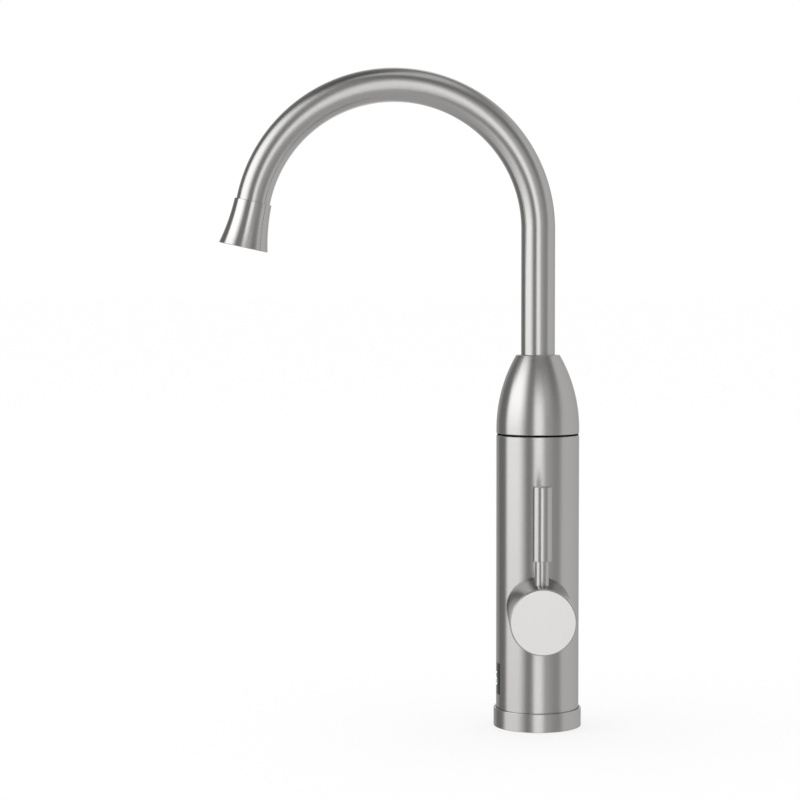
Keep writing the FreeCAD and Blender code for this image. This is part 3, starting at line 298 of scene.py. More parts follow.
def make_nozzle_shell():
    socket = TUBE_RADIUS + SEAT_GAP
    start_edge = 0.25
    start_margin = 0.1
    lip_edge = 0.4
    lip_margin = 0.2
    chamber_edge = 0.3
    flare_start = NOZZLE_START + start_edge + start_margin
    flare = flare_outline(flare_start, NOZZLE_END - lip_edge - lip_margin)
    return lathe(
        "nozzle_shell_turned",
        [
            (socket, NOZZLE_START),
            (flare_reach(NOZZLE_START), NOZZLE_START, start_edge),
            *flare,
            (flare_reach(NOZZLE_END), NOZZLE_END, lip_edge),
            (NOZZLE_CHAMBER, NOZZLE_END, chamber_edge),
            (NOZZLE_CHAMBER, NOZZLE_CHAMBER_START),
            (NOZZLE_THROAT, NOZZLE_CHAMBER_START),
            (NOZZLE_THROAT, TUBE_TAIL),
            (socket, TUBE_TAIL),
        ],
        NOZZLE_AXIS,
    )


def make_handle_cap():
    wall = 1.6
    bore = HANDLE_RADIUS - wall
    back_edge = 0.2
    rim_edge = 0.3
    web_low = 60.7
    web_high = 64.7
    hub_radius = 10.5
    hub_start = 38.0
    spindle_hole = 5.05
    spindle_gap = 0.1
    spindle_stop = SPINDLE_END + spindle_gap
    screw_hole = 2.1
    return lathe(
        "handle_cap_turned",
        [
            (bore, HANDLE_START),
            (HANDLE_RADIUS, HANDLE_START, back_edge),
            (HANDLE_RADIUS, HANDLE_RIM, rim_edge),
            (bore, HANDLE_RIM),
            (bore, web_high),
            (screw_hole, web_high),
            (screw_hole, spindle_stop),
            (spindle_hole, spindle_stop),
            (spindle_hole, hub_start),
            (hub_radius, hub_start),
            (hub_radius, web_low),
            (bore, web_low),
        ],
        VALVE_AXIS,
    )


def make_handle_end_cap():
    thick = 2.9
    back = HANDLE_FACE - thick
    skirt_outer = 17.5
    skirt_inner = 16.0
    rim_edge = 0.15
    face_edge = 0.55
    return lathe(
        "handle_end_cap_turned",
        [
            (0, back),
            (skirt_inner, back),
            (skirt_inner, END_CAP_SKIRT_START),
            (skirt_outer, END_CAP_SKIRT_START),
            (skirt_outer, HANDLE_RIM),
            (END_CAP_RADIUS, HANDLE_RIM, rim_edge),
            (END_CAP_RADIUS, HANDLE_FACE, face_edge),
            (0, HANDLE_FACE),
        ],
        VALVE_AXIS,
    )


def make_lever_stem():
    thread = 3.0
    seat_rise = 9.6
    seat = VALVE_HEIGHT + seat_rise
    top_edge = 0.2
    return lathe(
        "lever_stem_turned",
        [
            (0, STEM_FOOT),
            (thread, STEM_FOOT),
            (thread, seat),
            (STEM_RADIUS, seat),
            (STEM_RADIUS, STEM_TOP, top_edge),
            (0, STEM_TOP),
        ],
        LEVER_AXIS,
    )


def make_lever_grip():
    bore = STEM_RADIUS + SEAT_GAP
    end_gap = 0.1
    bore_end = STEM_TOP + end_gap
    low_edge = 0.3
    high_edge = 0.35
    return lathe(
        "lever_grip_turned",
        [
            (bore, GRIP_LOW),
            (GRIP_RADIUS, GRIP_LOW, low_edge),
            (GRIP_RADIUS, GRIP_HIGH, high_edge),
            (0, GRIP_HIGH),
            (0, bore_end),
            (bore, bore_end),
        ],
        LEVER_AXIS,
    )


# The map that holds a swept piece's length along its path, in metres, and the turn round it
PATH_MAP = "along_path"


def spout_stations():
    """Centres and outward directions along the spout's path, from its foot to its end."""
    stations = [(Vector((0, 0, TUBE_LOW)), Vector((1, 0, 0)))]
    for step in range(BEND_STEPS + 1):
        angle = BEND_TURN * step / BEND_STEPS
        outward = Vector((math.cos(angle), 0, math.sin(angle)))
        stations.append((Vector((-BEND_RADIUS, 0, SPOUT_RISE)) + outward * BEND_RADIUS, outward))
    down = Vector((-math.sin(BEND_TURN), 0, math.cos(BEND_TURN)))
    stations.append((BEND_END + down * TUBE_TAIL, outward))
    return stations


def map_path(piece, lengths):
    """Keep each ring's length along the path, and the turn round it, as a map."""
    mesh = piece.data
    layer = mesh.uv_layers.new(name=PATH_MAP)
    for face in mesh.polygons:
        places = [divmod(mesh.loops[loop].vertex_index, ROUND_STEPS) for loop in face.loop_indices]
        last = max(step for ring, step in places)
        for loop, (ring, step) in zip(face.loop_indices, places):
            closes_ring = step < last - 1
            turn = ROUND_STEPS if closes_ring else step
            layer.data[loop].uv = (lengths[ring] * MM, turn / ROUND_STEPS)


def make_spout_tube():
    """The gooseneck: a wall swept along its path."""
    stations = spout_stations()
    lengths = [0.0]
    for (before, _), (after, _) in zip(stations, stations[1:]):
        lengths.append(lengths[-1] + (after - before).length)
    walls = [(station, TUBE_RADIUS) for station in stations]
    walls += [(station, TUBE_RADIUS - TUBE_WALL) for station in reversed(stations)]
    vertices = []
    for (centre, outward), radius in walls:
        for step in range(ROUND_STEPS):
            angle = FULL_TURN * step / ROUND_STEPS
            side = outward * math.cos(angle) + Vector((0, math.sin(angle), 0))
            vertices.append(centre + side * radius)
    piece = new_piece("spout_tube_swept", vertices, ring_faces(len(walls), ROUND_STEPS))
    map_path(piece, lengths + lengths[::-1])
    return piece


# Threaded shank and its nut

THREAD_RADIUS = 10.4775
THREAD_PITCH = 1.814
THREAD_DEEP = 1.162
THREAD_ROWS = 8
THREAD_TOP = -14.0
RELIEF_RADIUS = 9.4
RELIEF_LOW = -35.0
RELIEF_HIGH = -33.0
SHANK_CHAMFER = 0.8
NUT_FLATS = 27.0
NUT_FACE_RADIUS = 12.9
NUT_BORE = THREAD_RADIUS + SEAT_GAP
NUT_COUNTERSINK = 0.6
NUT_BEVEL = math.tan(math.radians(30))


def thread_outline(low, high, angle):
    """Points up a right-hand thread, at an angle round it, which runs out at its top."""
    rows = round((high - low) / THREAD_PITCH * THREAD_ROWS)
    points = []
    for row in range(rows + 1):
        height = low + (high - low) * row / rows
        wave = math.cos(FULL_TURN * height / THREAD_PITCH - angle)
        deep = THREAD_DEEP * min(1.0, (high - height) / THREAD_PITCH)
        radius = THREAD_RADIUS - deep * (1 - wave) / 2
        lead_in = THREAD_RADIUS - SHANK_CHAMFER + height - SHANK_FOOT
        points.append((min(radius, lead_in), height))
    return points


def shank_outline(angle):
    """The section of the inlet shank, at an angle round it."""
    bore = 6.0
    flange_low = 8.0
    flange_high = 11.0
    spigot = 9.0
    groove = 7.9
    groove_low = 15.0
    groove_high = 17.0
    return [
        (bore, SHANK_FOOT),
        *thread_outline(SHANK_FOOT, RELIEF_LOW, angle),
        (RELIEF_RADIUS, RELIEF_LOW),
        (RELIEF_RADIUS, RELIEF_HIGH),
        *thread_outline(RELIEF_HIGH, THREAD_TOP, angle),
        (THREAD_RADIUS, flange_low),
        (SHANK_FLANGE, flange_low),
        (SHANK_FLANGE, flange_high),
        (spigot, flange_high),
        (spigot, groove_low),
        (groove, groove_low),
        (groove, groove_high),
        (spigot, groove_high),
        (spigot, SHANK_HEAD),
        (bore, SHANK_HEAD),
    ]


def make_inlet_shank():
    return turned("inlet_shank_threaded", shank_outline, SHANK_AXIS, THREAD_STEPS)


def nut_outline(angle):
    """The section of a hexagon nut with bevelled corners, at an angle round it."""
    sixth = FULL_TURN / 6
    off_flat = (angle + sixth / 2) % sixth - sixth / 2
    reach = NUT_FLATS / 2 / math.cos(off_flat)
    bevel = (reach - NUT_FACE_RADIUS) * NUT_BEVEL
    return [
        (NUT_BORE, NUT_LOW + NUT_COUNTERSINK),
        (NUT_BORE + NUT_COUNTERSINK, NUT_LOW),
        (NUT_FACE_RADIUS, NUT_LOW),
        (reach, NUT_LOW + bevel),
        (reach, NUT_HIGH - bevel),
        (NUT_FACE_RADIUS, NUT_HIGH),
        (NUT_BORE + NUT_COUNTERSINK, NUT_HIGH),
        (NUT_BORE, NUT_HIGH - NUT_COUNTERSINK),
    ]


def make_fixing_nut():
    return turned("fixing_nut_bevelled", nut_outline, SHANK_AXIS)


# Display digits

SHOWN = "45"
DIGIT_SEGMENTS = {"4": "bcfg", "5": "acdfg"}
DIGIT_WIDE = 3.4
DIGIT_HALF_HIGH = 3.6
DIGIT_PITCH = 5.6
SEGMENT_HALF = 0.36
SEGMENT_GAP = 0.12
SEGMENT_POINT = 0.02
SEGMENT_SUNK = 0.05
SEGMENT_PROUD = 0.03
SEGMENT_COLUMNS = 6
DISPLAY_HEIGHT = 29.0


def segment_ends():
    """Where each of a digit's seven segments starts and ends, across and up from its middle."""
    side = DIGIT_WIDE / 2
    high = DIGIT_HALF_HIGH
    return {
        "a": ((-side, high), (side, high)),
        "b": ((side, high), (side, 0)),
        "c": ((side, 0), (side, -high)),
        "d": ((-side, -high), (side, -high)),
        "e": ((-side, 0), (-side, -high)),
        "f": ((-side, high), (-side, 0)),
        "g": ((-side, 0), (side, 0)),
    }


def on_window(place, radius):
    """A point on the display's round front, from across and up as its reader sees them."""
    angle = place.x / BODY_RADIUS
    return (-radius * math.cos(angle), -radius * math.sin(angle), DISPLAY_HEIGHT + place.y)


def segment_shape(start, end):
    """Points and faces of one bar with pointed ends, a little proud of the window."""
    along = (end - start).normalized()
    side = Vector((-along.y, along.x))
    length = (end - start).length
    first = SEGMENT_GAP + SEGMENT_HALF
    inner = length - 2 * first
    reach = [SEGMENT_GAP]
    reach += [first + inner * step / SEGMENT_COLUMNS for step in range(SEGMENT_COLUMNS + 1)]
    reach.append(length - SEGMENT_GAP)
    vertices = []
    for i, distance in enumerate(reach):
        half = SEGMENT_POINT if i in (0, len(reach) - 1) else SEGMENT_HALF
        middle = start + along * distance
        for radius in (BODY_RADIUS - SEGMENT_SUNK, BODY_RADIUS + SEGMENT_PROUD):
            vertices.append(on_window(middle - side * half, radius))
            vertices.append(on_window(middle + side * half, radius))
    column = 4
    faces = []
    for i in range(len(reach) - 1):
        low = column * i
        high = low + column
        for a, b in ((0, 1), (1, 3), (3, 2), (2, 0)):
            faces.append((low + a, low + b, high + b, high + a))
    last = column * (len(reach) - 1)
    faces.append((0, 1, 3, 2))
    faces.append((last, last + 1, last + 3, last + 2))
    return vertices, faces


def make_digits(text):
    vertices = []
    faces = []
    for i, letter in enumerate(text):
        middle = Vector(((i - (len(text) - 1) / 2) * DIGIT_PITCH, 0))
        for segment in DIGIT_SEGMENTS[letter]:
            start, end = (Vector(place) + middle for place in segment_ends()[segment])
            points, sides = segment_shape(start, end)
            faces += [[corner + len(vertices) for corner in side] for side in sides]
            vertices += points
    return new_piece("display_digits", vertices, faces)


# Materials

# The middle range of a noise, which its uses spread out
NOISE_LOW = 0.3
NOISE_HIGH = 0.7
# Sockets of a mix node that hold colours
MIX_FIRST = 6
MIX_SECOND = 7
MIX_RESULT = 2


class Shader:
    """A material's node tree, with short ways to add nodes to it."""

    def __init__(self, name):
        self.material = bpy.data.materials.new(name)
        self.material.use_nodes = True
        self.tree = self.material.node_tree
        self.surface = self.tree.nodes["Principled BSDF"]

    def node(self, kind, **inputs):
        made = self.tree.nodes.new(kind)
        for name, given in inputs.items():
            socket = made.inputs[name.replace("_", " ")]
            if isinstance(given, bpy.types.NodeSocket):
                self.tree.links.new(given, socket)
            else:
                socket.default_value = given
        return made

    def link(self, output, name):
        self.tree.links.new(output, self.surface.inputs[name])

    def set(self, **values):
        for name, given in values.items():
            self.surface.inputs[name.replace("_", " ")].default_value = given

    def stretched(self, *scale):
        """The object's own coordinates, in metres, stretched along each axis."""
        place = self.node("ShaderNodeTexCoord").outputs["Object"]
        return self.node("ShaderNodeMapping", Vector=place, Scale=scale).outputs["Vector"]

    def even(self, scale):
        """The object's own coordinates, in metres, stretched by the same along every axis."""
        return self.stretched(scale, scale, scale)

    def stretched_path(self, *scale):
        """The length along a swept piece's path and the turn round it, stretched."""
        place = self.node("ShaderNodeUVMap")
        place.uv_map = PATH_MAP
        return self.node("ShaderNodeMapping", Vector=place.outputs["UV"], Scale=scale).outputs["Vector"]

    def noise(self, vector, detail=2.0):
        made = self.node("ShaderNodeTexNoise", Vector=vector, Scale=1.0, Detail=detail)
        return made.outputs["Fac"]

    def spread(self, factor, low, high):
        """A noise's middle range, spread between two values."""
        limits = {"From_Min": NOISE_LOW, "From_Max": NOISE_HIGH, "To_Min": low, "To_Max": high}
        return self.node("ShaderNodeMapRange", Value=factor, **limits).outputs["Result"]

    def blend(self, factor, first, second):
        """A colour between two, by a factor."""
        mix = self.tree.nodes.new("ShaderNodeMix")
        mix.data_type = "RGBA"
        self.tree.links.new(factor, mix.inputs["Factor"])
        mix.inputs[MIX_FIRST].default_value = (*first, 1)
        mix.inputs[MIX_SECOND].default_value = (*second, 1)
        return mix.outputs[MIX_RESULT]

    def bump(self, height, strength, distance):
        made = self.node("ShaderNodeBump", Height=height, Strength=strength, Distance=distance)
        self.link(made.outputs["Normal"], "Normal")

    def tangent_round(self, axis):
        """Let the gloss follow circles about one of the object's axes."""
        made = self.tree.nodes.new("ShaderNodeTangent")
        made.direction_type = "RADIAL"
        made.axis = axis
        self.link(made.outputs["Tangent"], "Tangent")

    def tangent_along_path(self):
        """Let the gloss follow a swept piece's path."""
        made = self.tree.nodes.new("ShaderNodeTangent")
        made.direction_type = "UV_MAP"
        made.uv_map = PATH_MAP
        self.link(made.outputs["Tangent"], "Tangent")


STEEL_DARK = (0.617, 0.609, 0.597)
STEEL_LIGHT = (0.638, 0.630, 0.619)
STEEL_STRETCH = 0.7
STEEL_CLOUD_SCALE = 45
STEEL_STREAK_SHARE = 0.7
STEEL_CLOUD_SHARE = 0.3
STEEL_BUMP = 0.015
STEEL_BUMP_DEEP = 0.00002
# Finishes: the lowest and highest roughness of the lines, and the tint at a grazing angle
SATIN = (0.23, 0.27, 0.74)
FINE_SATIN = (0.13, 0.16, 0.54)
BRIGHT_SATIN = (0.14, 0.17, 0.70)
FACE_SATIN = (0.09, 0.11, 0.74)
QUARTER_TURN = 0.25
# How fine the brush lines are: to the metre along the axis that they run round, to the metre across
# it, and to the turn round the spout's tube
LINES = 7000
LINE_SPREAD = 70
TUBE_LINE_SPREAD = 3


def brushed_steel(name, lines, finish):
    """Satin steel with fine brush lines; its gloss is drawn out across them."""
    smooth, rough, edge = finish
    shader = Shader(name)
    streaks = shader.noise(lines(shader), detail=4.0)
    cloud = shader.noise(shader.even(STEEL_CLOUD_SCALE), detail=3.0)
    both = shader.node("ShaderNodeMath", Value=streaks)
    both.operation = "MULTIPLY_ADD"
    both.inputs[1].default_value = STEEL_STREAK_SHARE
    shader.tree.links.new(shader.spread(cloud, 0.0, STEEL_CLOUD_SHARE), both.inputs[2])
    shader.link(shader.blend(both.outputs[0], STEEL_DARK, STEEL_LIGHT), "Base Color")
    shader.link(shader.spread(streaks, smooth, rough), "Roughness")
    shader.set(Metallic=1.0, Specular_Tint=(edge, edge, edge, 1), Anisotropic=STEEL_STRETCH)
    shader.bump(streaks, STEEL_BUMP, STEEL_BUMP_DEEP)
    return shader


def turned_steel(name, finish=SATIN):
    """Steel brushed round the piece's own +Z."""
    shader = brushed_steel(name, lambda made: made.stretched(LINE_SPREAD, LINE_SPREAD, LINES), finish)
    shader.tangent_round("Z")
    shader.set(Anisotropic_Rotation=QUARTER_TURN)
    return shader.material


def sleeve_steel(name, finish):
    """Steel brushed round the valve's axis, on a node that lies along the tap's own Y."""
    shader = brushed_steel(name, lambda made: made.stretched(LINE_SPREAD, LINES, LINE_SPREAD), finish)
    shader.tangent_round("Y")
    shader.set(Anisotropic_Rotation=QUARTER_TURN)
    return shader.material


def tube_steel(name):
    """Steel brushed round the spout's bent tube."""
    shader = brushed_steel(name, lambda made: made.stretched_path(LINES, TUBE_LINE_SPREAD, 1), SATIN)
    shader.tangent_along_path()
    return shader.material


def plain_metal(name, dark, light, rough):
    """Machined or pressed metal without a brushed finish."""
    cloud_scale = 160
    grain_scale = 2500
    grain = 0.08
    grain_deep = 0.00003
    uneven = 0.06
    shader = Shader(name)
    cloud = shader.noise(shader.even(cloud_scale), detail=4.0)
    shader.link(shader.blend(cloud, dark, light), "Base Color")
    shader.link(shader.spread(cloud, rough - uneven, rough + uneven), "Roughness")
    shader.set(Metallic=1.0)
    shader.bump(shader.noise(shader.even(grain_scale)), grain, grain_deep)
    return shader.material


def moulding(name, dark, light, rough, grain=0.12, sheen=0.5):
    """Moulded plastic, rubber or ceramic with a fine surface grain."""
    cloud_scale = 90
    grain_scale = 3500
    grain_deep = 0.00004
    uneven = 0.05
    shader = Shader(name)
    cloud = shader.noise(shader.even(cloud_scale), detail=3.0)
    fine = shader.noise(shader.even(grain_scale))
    shader.link(shader.blend(cloud, dark, light), "Base Color")
    shader.link(shader.spread(fine, rough - uneven, rough + uneven), "Roughness")
    shader.set(Specular_IOR_Level=sheen)
    shader.bump(fine, grain, grain_deep)
    return shader.material


def smoked_window(name):
    """Gloss black plastic with faint smears."""
    dark = (0.010, 0.010, 0.011)
    light = (0.018, 0.018, 0.019)
    smear_scale = (260, 260, 60)
    smooth = 0.06
    rough = 0.14
    shader = Shader(name)
    smear = shader.noise(shader.stretched(*smear_scale), detail=3.0)
    shader.link(shader.blend(smear, dark, light), "Base Color")
    shader.link(shader.spread(smear, smooth, rough), "Roughness")
    shader.set(IOR=1.36)
    return shader.material


def lit_digits(name):
    """White digits that glow a little, unevenly."""
    dark = (0.82, 0.84, 0.86)
    light = (0.95, 0.96, 0.97)
    glow_scale = 900
    shader = Shader(name)
    glow = shader.noise(shader.even(glow_scale))
    colour = shader.blend(glow, dark, light)
    shader.link(colour, "Base Color")
    shader.link(colour, "Emission Color")
    shader.set(Emission_Strength=0.7, Roughness=0.4)
    return shader.material


def make_materials():
    """One material for each of the record's slots."""
    return {
        "brushed_steel": turned_steel("steel_turned"),
        "stainless": plain_metal("stainless", (0.50, 0.50, 0.49), (0.60, 0.60, 0.59), 0.3),
        "zinc_steel": plain_metal("zinc_steel", (0.42, 0.43, 0.44), (0.54, 0.55, 0.56), 0.35),
        "brass": plain_metal("brass", (0.66, 0.46, 0.19), (0.78, 0.58, 0.28), 0.28),
        "aluminium": plain_metal("aluminium", (0.60, 0.61, 0.62), (0.70, 0.71, 0.72), 0.38),
        "window_black": smoked_window("smoked_window"),
        "black_plastic": moulding("black_plastic", (0.018, 0.018, 0.019), (0.03, 0.03, 0.031), 0.45),
        "white_plastic": moulding("white_plastic", (0.72, 0.72, 0.70), (0.80, 0.80, 0.78), 0.4),
        "board_green": moulding("board_green", (0.02, 0.13, 0.06), (0.035, 0.19, 0.09), 0.35),
        "rubber": moulding("rubber", (0.016, 0.016, 0.017), (0.028, 0.028, 0.028), 0.7, grain=0.3),
        "ceramic": moulding("ceramic", (0.80, 0.79, 0.75), (0.88, 0.87, 0.83), 0.25, grain=0.05),
    }


def make_own_finishes():
    """Nodes with a finish of their own within their slot."""
    # The seam ring is a black seal, but its colour is painted near-black, far darker than the other
    # black plastic, as painted shade for the recessed gap between the body and the dome.
    seam_black_shade_low = (0.002, 0.002, 0.002)
    seam_black_shade_high = (0.004, 0.004, 0.004)
    return {
        "valve_sleeve": sleeve_steel("steel_sleeve", FINE_SATIN),
        "seam_ring": moulding("seam_black_painted_shade", seam_black_shade_low, seam_black_shade_high, 0.75, sheen=0.05),
    }


def paint(piece, material):
    piece.data.materials.clear()
    piece.data.materials.append(material)


def dress_nodes(materials):
    """Give every CAD node its own finish, or the material of its slot in the record."""
    own = make_own_finishes()
    for entry in frame["record"]["subparts"]:
        node = entry["node"]
        paint(frame["nodes"][node], own.get(node) or materials[entry["material_slot"]])


def fit(piece, node, body, material):
    """Show a piece in place of a plain solid, on the same body."""
    paint(piece, material)
    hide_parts(node)
    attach(piece, body)


def fit_steel(material):
    """Finely rounded pieces in place of the plain solids that are seen."""
    fit(make_base_ring(), "base_ring", BODY, material)
    fit(make_dome_cap(), "dome_cap", BODY, material)
    fit(make_spout_tube(), "spout_tube", SPOUT, tube_steel("steel_tube"))
    nozzle_steel = turned_steel("steel_nozzle", BRIGHT_SATIN)
    fit(make_nozzle_shell(), "nozzle_shell", SPOUT, nozzle_steel)
    handle_steel = turned_steel("steel_handle", FINE_SATIN)
    fit(make_handle_cap(), "handle_cap", HANDLE, handle_steel)
    face_steel = turned_steel("steel_face", FACE_SATIN)
    fit(make_handle_end_cap(), "handle_end_cap", HANDLE, face_steel)
    fit(make_lever_stem(), "lever_stem", HANDLE, material)
    fit(make_lever_grip(), "lever_grip", HANDLE, material)


def fit_brass(material):
    fit(make_inlet_shank(), "inlet_shank", BODY, material)
    fit(make_fixing_nut(), "fixing_nut", BODY, material)


def fit_digits():
    digits = make_digits(SHOWN)
    paint(digits, lit_digits("lit_digits"))
    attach(digits, BODY)


# Studio

FLOOR_HALF = 60.0
FLOOR_LEVEL = -0.00005
FLOOR_WHITE = 0.98
FLOOR_GLOW = 0.7
CARD_RADIUS = 3.5
CARD_SPACING = 0.06
CARD_STEP = 4.0
CARD_CENTRE = Vector((0, 0, 0.2))
SHARE = "share"
NADIR = (-90, -90)
ZENITH = (90, 90)
ALL_ROUND = (-180, -180, 180, 180)
# Grey cards round the tap, each before the ones above it, which leave gaps to the white room.
# Bearings are in degrees from the camera's side towards +X and elevations above the level; along
# each, a card starts, is full, stops being full and ends.
CARDS = {
    "card_right": ((20, 30, 156, 168), (*NADIR, *ZENITH), 0.60),
    "card_back": ((182, 194, 204, 216), (*NADIR, *ZENITH), 0.60),
    "card_front_right": ((6, 20, 60, 72), (*NADIR, *ZENITH), 0.45),
    "card_front_right_dark": ((26, 46, 58, 68), (*NADIR, *ZENITH), 0.32),
    "card_front_right_high": ((26, 46, 68, 80), (2, 36, *ZENITH), 0.20),
    "card_front_left": ((-56, -32, -22, -10), (*NADIR, *ZENITH), 0.24),
    "card_back_left": ((-168, -134, -104, -94), (*NADIR, *ZENITH), 0.20),
    "card_back_left_high": ((-168, -134, -96, -76), (28, 48, *ZENITH), 0.17),
    "card_left_low": ((-106, -94, -60, -36), (*NADIR, -40, -6), 0.50),
    "card_front_low": ((-30, -15, 18, 30), (*NADIR, -55, -22), 0.45),
    "card_front_high": ((-30, -15, 40, 60), (19, 45, *ZENITH), 0.20),
    "card_ceiling": (ALL_ROUND, (42, 58, *ZENITH), 0.20),
    "card_ceiling_left": ((-165, -130, -30, -8), (52, 60, *ZENITH), 0.10),
    "card_zenith": ((-75, -30, 140, 180), (60, 72, *ZENITH), 0.64),
    "card_ground": (ALL_ROUND, (*NADIR, -50, -20), 0.45),
}
# Soft light in the gaps, which adds to the white room
GLOWS = {
    "glow_left": ((-104, -92, -62, -38), (-14, 16, 28, 56), 0.66),
    "glow_left_edge": ((-62, -50, -43, -27), (-6, 10, 22, 36), 0.22),
    "glow_right_edge": ((8, 18, 36, 50), (8, 20, 34, 50), 0.13),
    "glow_front": ((-12, -7, 8, 20), (-30, 0, 14, 34), 0.26),
}
# A dark flag near the tap, which the spout's end sees further to the right than the body does
FLAG_RADIUS = 0.8
FLAGS = {
    "flag_front_left": ((-34, -27, -21, -11), (-40, -15, 40, 60), 0.25),
}
# Lamps where the soft light is: bearing, low and high edge, width, distance and brightness
LAMPS = {
    "lamp_left": (-78, 0.3, 3.6, 3.0, 2.9, 0.35),
    "lamp_front": (0, -1.2, 1.3, 1.5, 2.9, 0.10),
}


def bearing(degrees):
    """The level direction at a bearing from the camera's side."""
    angle = math.radians(degrees)
    return Vector((math.sin(angle), -math.cos(angle), 0))


def on_card(degrees, elevation, radius):
    """A point of the ball that the cards lie on."""
    rise = math.radians(elevation)
    return CARD_CENTRE + (bearing(degrees) * math.cos(rise) + Vector((0, 0, math.sin(rise)))) * radius


def fullness(stops, place):
    """How full a card is at a place: it rises to its second stop and falls from its third."""
    start, full, fade, end = stops
    if place < full:
        return (place - start) / (full - start)
    if place > fade:
        return (end - place) / (end - fade)
    return 1.0


def steps_between(stops):
    """The stops themselves, with even steps between them."""
    places = [stops[0]]
    for low, high in zip(stops, stops[1:]):
        count = math.ceil((high - low) / CARD_STEP)
        places += [low + (high - low) * (i + 1) / count for i in range(count)]
    return places


def empty_material(name):
    material = bpy.data.materials.new(name)
    material.use_nodes = True
    material.node_tree.nodes.clear()
    return material


def end_material(tree, output):
    end = tree.nodes.new("ShaderNodeOutputMaterial")
    tree.links.new(output, end.inputs["Surface"])


def card_material(name, grey):
    """A plain grey that turns clear where the card fades."""
    material = empty_material(name)
    tree = material.node_tree
    share = tree.nodes.new("ShaderNodeAttribute")
    share.attribute_name = SHARE
    light = tree.nodes.new("ShaderNodeEmission")
    light.inputs["Color"].default_value = (grey, grey, grey, 1)
    mix = tree.nodes.new("ShaderNodeMixShader")
    tree.links.new(share.outputs["Fac"], mix.inputs[0])
    tree.links.new(tree.nodes.new("ShaderNodeBsdfTransparent").outputs[0], mix.inputs[1])
    tree.links.new(light.outputs[0], mix.inputs[2])
    end_material(tree, mix.outputs[0])
    return material


def glow_material(name, brightness):
    """Light that adds to what is seen behind it."""
    material = empty_material(name)
    tree = material.node_tree
    share = tree.nodes.new("ShaderNodeAttribute")
    share.attribute_name = SHARE
    strength = tree.nodes.new("ShaderNodeMath")
    strength.operation = "MULTIPLY"
    strength.inputs[1].default_value = brightness
    tree.links.new(share.outputs["Fac"], strength.inputs[0])
    light = tree.nodes.new("ShaderNodeEmission")
    tree.links.new(strength.outputs[0], light.inputs["Strength"])
    both = tree.nodes.new("ShaderNodeAddShader")
    tree.links.new(tree.nodes.new("ShaderNodeBsdfTransparent").outputs[0], both.inputs[0])
    tree.links.new(light.outputs[0], both.inputs[1])
    end_material(tree, both.outputs[0])
    return material


def stage_piece(name, vertices, faces, material):
    mesh = bpy.data.meshes.new(name)
    mesh.from_pydata(vertices, [], faces)
    piece = bpy.data.objects.new(name, mesh)
    bpy.context.scene.collection.objects.link(piece)
    paint(piece, material)
    return piece


def make_card(name, bearings, elevations, radius, material):
    """A soft-edged card, which only gloss shows."""
    across = steps_between(bearings)
    up = steps_between(elevations)
    places = [(degrees, elevation) for degrees in across for elevation in up]
    faces = []
    for i in range(len(across) - 1):
        for j in range(len(up) - 1):
            first = i * len(up) + j
            second = first + len(up)
            faces.append((first, second, second + 1, first + 1))
    card = stage_piece(name, [on_card(*place, radius) for place in places], faces, material)
    share = card.data.attributes.new(SHARE, "FLOAT", "POINT")
    for entry, (degrees, elevation) in zip(share.data, places):
        entry.value = fullness(bearings, degrees) * fullness(elevations, elevation)
    card.visible_camera = False
    card.visible_diffuse = False
    card.visible_shadow = False


def make_cards():
    radius = CARD_RADIUS
    for name, (bearings, elevations, grey) in CARDS.items():
        make_card(name, bearings, elevations, radius, card_material(name, grey))
        radius -= CARD_SPACING
    for name, (bearings, elevations, brightness) in GLOWS.items():
        make_card(name, bearings, elevations, radius, glow_material(name, brightness))
        radius -= CARD_SPACING
    for name, (bearings, elevations, grey) in FLAGS.items():
        make_card(name, bearings, elevations, FLAG_RADIUS, card_material(name, grey))


def make_lamp(name, degrees, low, high, wide, distance, brightness):
    """A soft box that faces the tap, of a given radiance; the cards stand for it in the gloss."""
    light = bpy.data.lights.new(name, "AREA")
    light.shape = "RECTANGLE"
    light.size = wide
    light.size_y = high - low
    light.energy = brightness * math.pi * wide * (high - low)
    lamp = bpy.data.objects.new(name, light)
    bpy.context.scene.collection.objects.link(lamp)
    place = bearing(degrees) * distance + Vector((0, 0, (low + high) / 2))
    facing = (-bearing(degrees)).to_track_quat("-Z", "Y").to_matrix().to_4x4()
    lamp.matrix_world = Matrix.Translation(place) @ facing
    lamp.visible_camera = False
    lamp.visible_glossy = False


def seen_directly(tree):
    """One where a ray comes from the camera, or by way of a reflection or a clear piece."""
    path = tree.nodes.new("ShaderNodeLightPath")
    total = path.outputs["Is Camera Ray"]
    for name in ("Is Glossy Ray", "Is Transmission Ray"):
        most = tree.nodes.new("ShaderNodeMath")
        most.operation = "MAXIMUM"
        tree.links.new(total, most.inputs[0])
        tree.links.new(path.outputs[name], most.inputs[1])
        total = most.outputs[0]
    return total


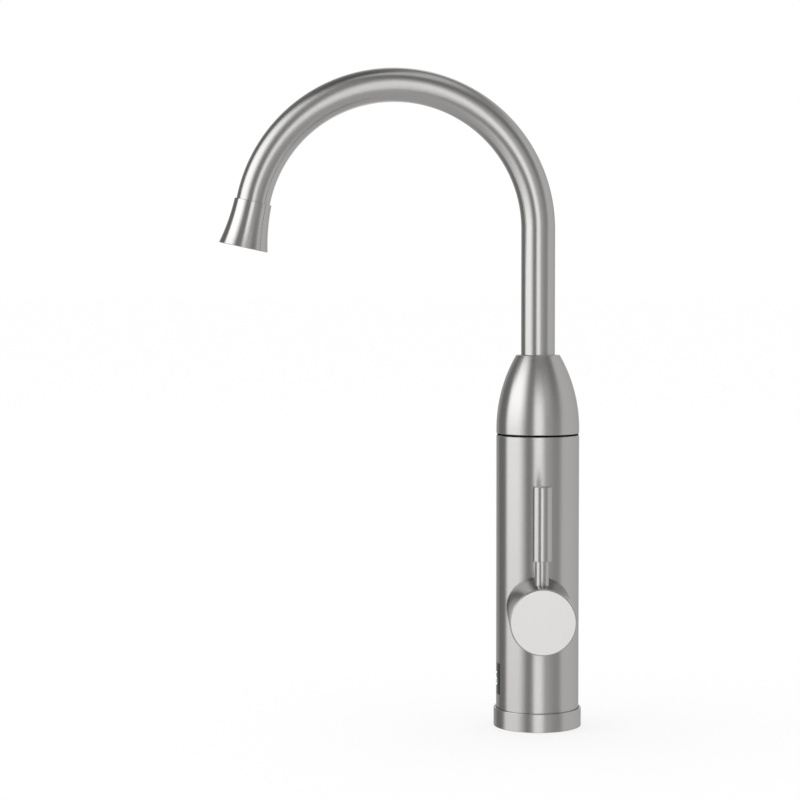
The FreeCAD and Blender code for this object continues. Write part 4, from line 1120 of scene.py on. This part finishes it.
def floor_material():
    """Pale floor that looks white and still takes the tap's shadow."""
    material = empty_material("pale_floor")
    tree = material.node_tree
    matt = tree.nodes.new("ShaderNodeBsdfDiffuse")
    matt.inputs["Color"].default_value = (FLOOR_WHITE, FLOOR_WHITE, FLOOR_WHITE, 1)
    light = tree.nodes.new("ShaderNodeEmission")
    share = tree.nodes.new("ShaderNodeMath")
    share.operation = "MULTIPLY"
    share.inputs[1].default_value = FLOOR_GLOW
    tree.links.new(seen_directly(tree), share.inputs[0])
    mix = tree.nodes.new("ShaderNodeMixShader")
    tree.links.new(share.outputs[0], mix.inputs[0])
    tree.links.new(matt.outputs[0], mix.inputs[1])
    tree.links.new(light.outputs[0], mix.inputs[2])
    end_material(tree, mix.outputs[0])
    return material


def make_floor():
    corners = [(-1, -1), (1, -1), (1, 1), (-1, 1)]
    vertices = [(x * FLOOR_HALF, y * FLOOR_HALF, FLOOR_LEVEL) for x, y in corners]
    floor = stage_piece("floor", vertices, [(0, 1, 2, 3)], floor_material())
    floor.visible_shadow = False
    floor.visible_glossy = False


def make_world():
    """A white room."""
    world = bpy.data.worlds.new("studio")
    world.use_nodes = True
    light = world.node_tree.nodes["Background"]
    light.inputs["Color"].default_value = (1, 1, 1, 1)
    light.inputs["Strength"].default_value = 1.0
    bpy.context.scene.world = world


def make_studio():
    make_floor()
    make_world()
    make_cards()
    for name, sizes in LAMPS.items():
        make_lamp(name, *sizes)


# Camera

CAMERA_PLACE = (-0.0572, -1.3168, 0.2644)
CAMERA_TILT = math.radians(90 - 2.922)
CAMERA_LENS = 98.44
CAMERA_SENSOR = 36.0
CAMERA_SHIFT = -0.0537
CAMERA_NEAR = 0.01


def make_camera():
    camera = bpy.data.cameras.new("camera")
    camera.sensor_width = CAMERA_SENSOR
    camera.lens = CAMERA_LENS
    camera.shift_x = CAMERA_SHIFT
    camera.clip_start = CAMERA_NEAR
    holder = bpy.data.objects.new("camera", camera)
    bpy.context.scene.collection.objects.link(holder)
    holder.location = CAMERA_PLACE
    holder.rotation_euler = (CAMERA_TILT, 0, 0)
    bpy.context.scene.camera = holder


materials = make_materials()
dress_nodes(materials)
fit_steel(materials["brushed_steel"])
fit_brass(materials["brass"])
fit_digits()
make_studio()
make_camera()
bpy.context.scene.view_settings.view_transform = "Standard"
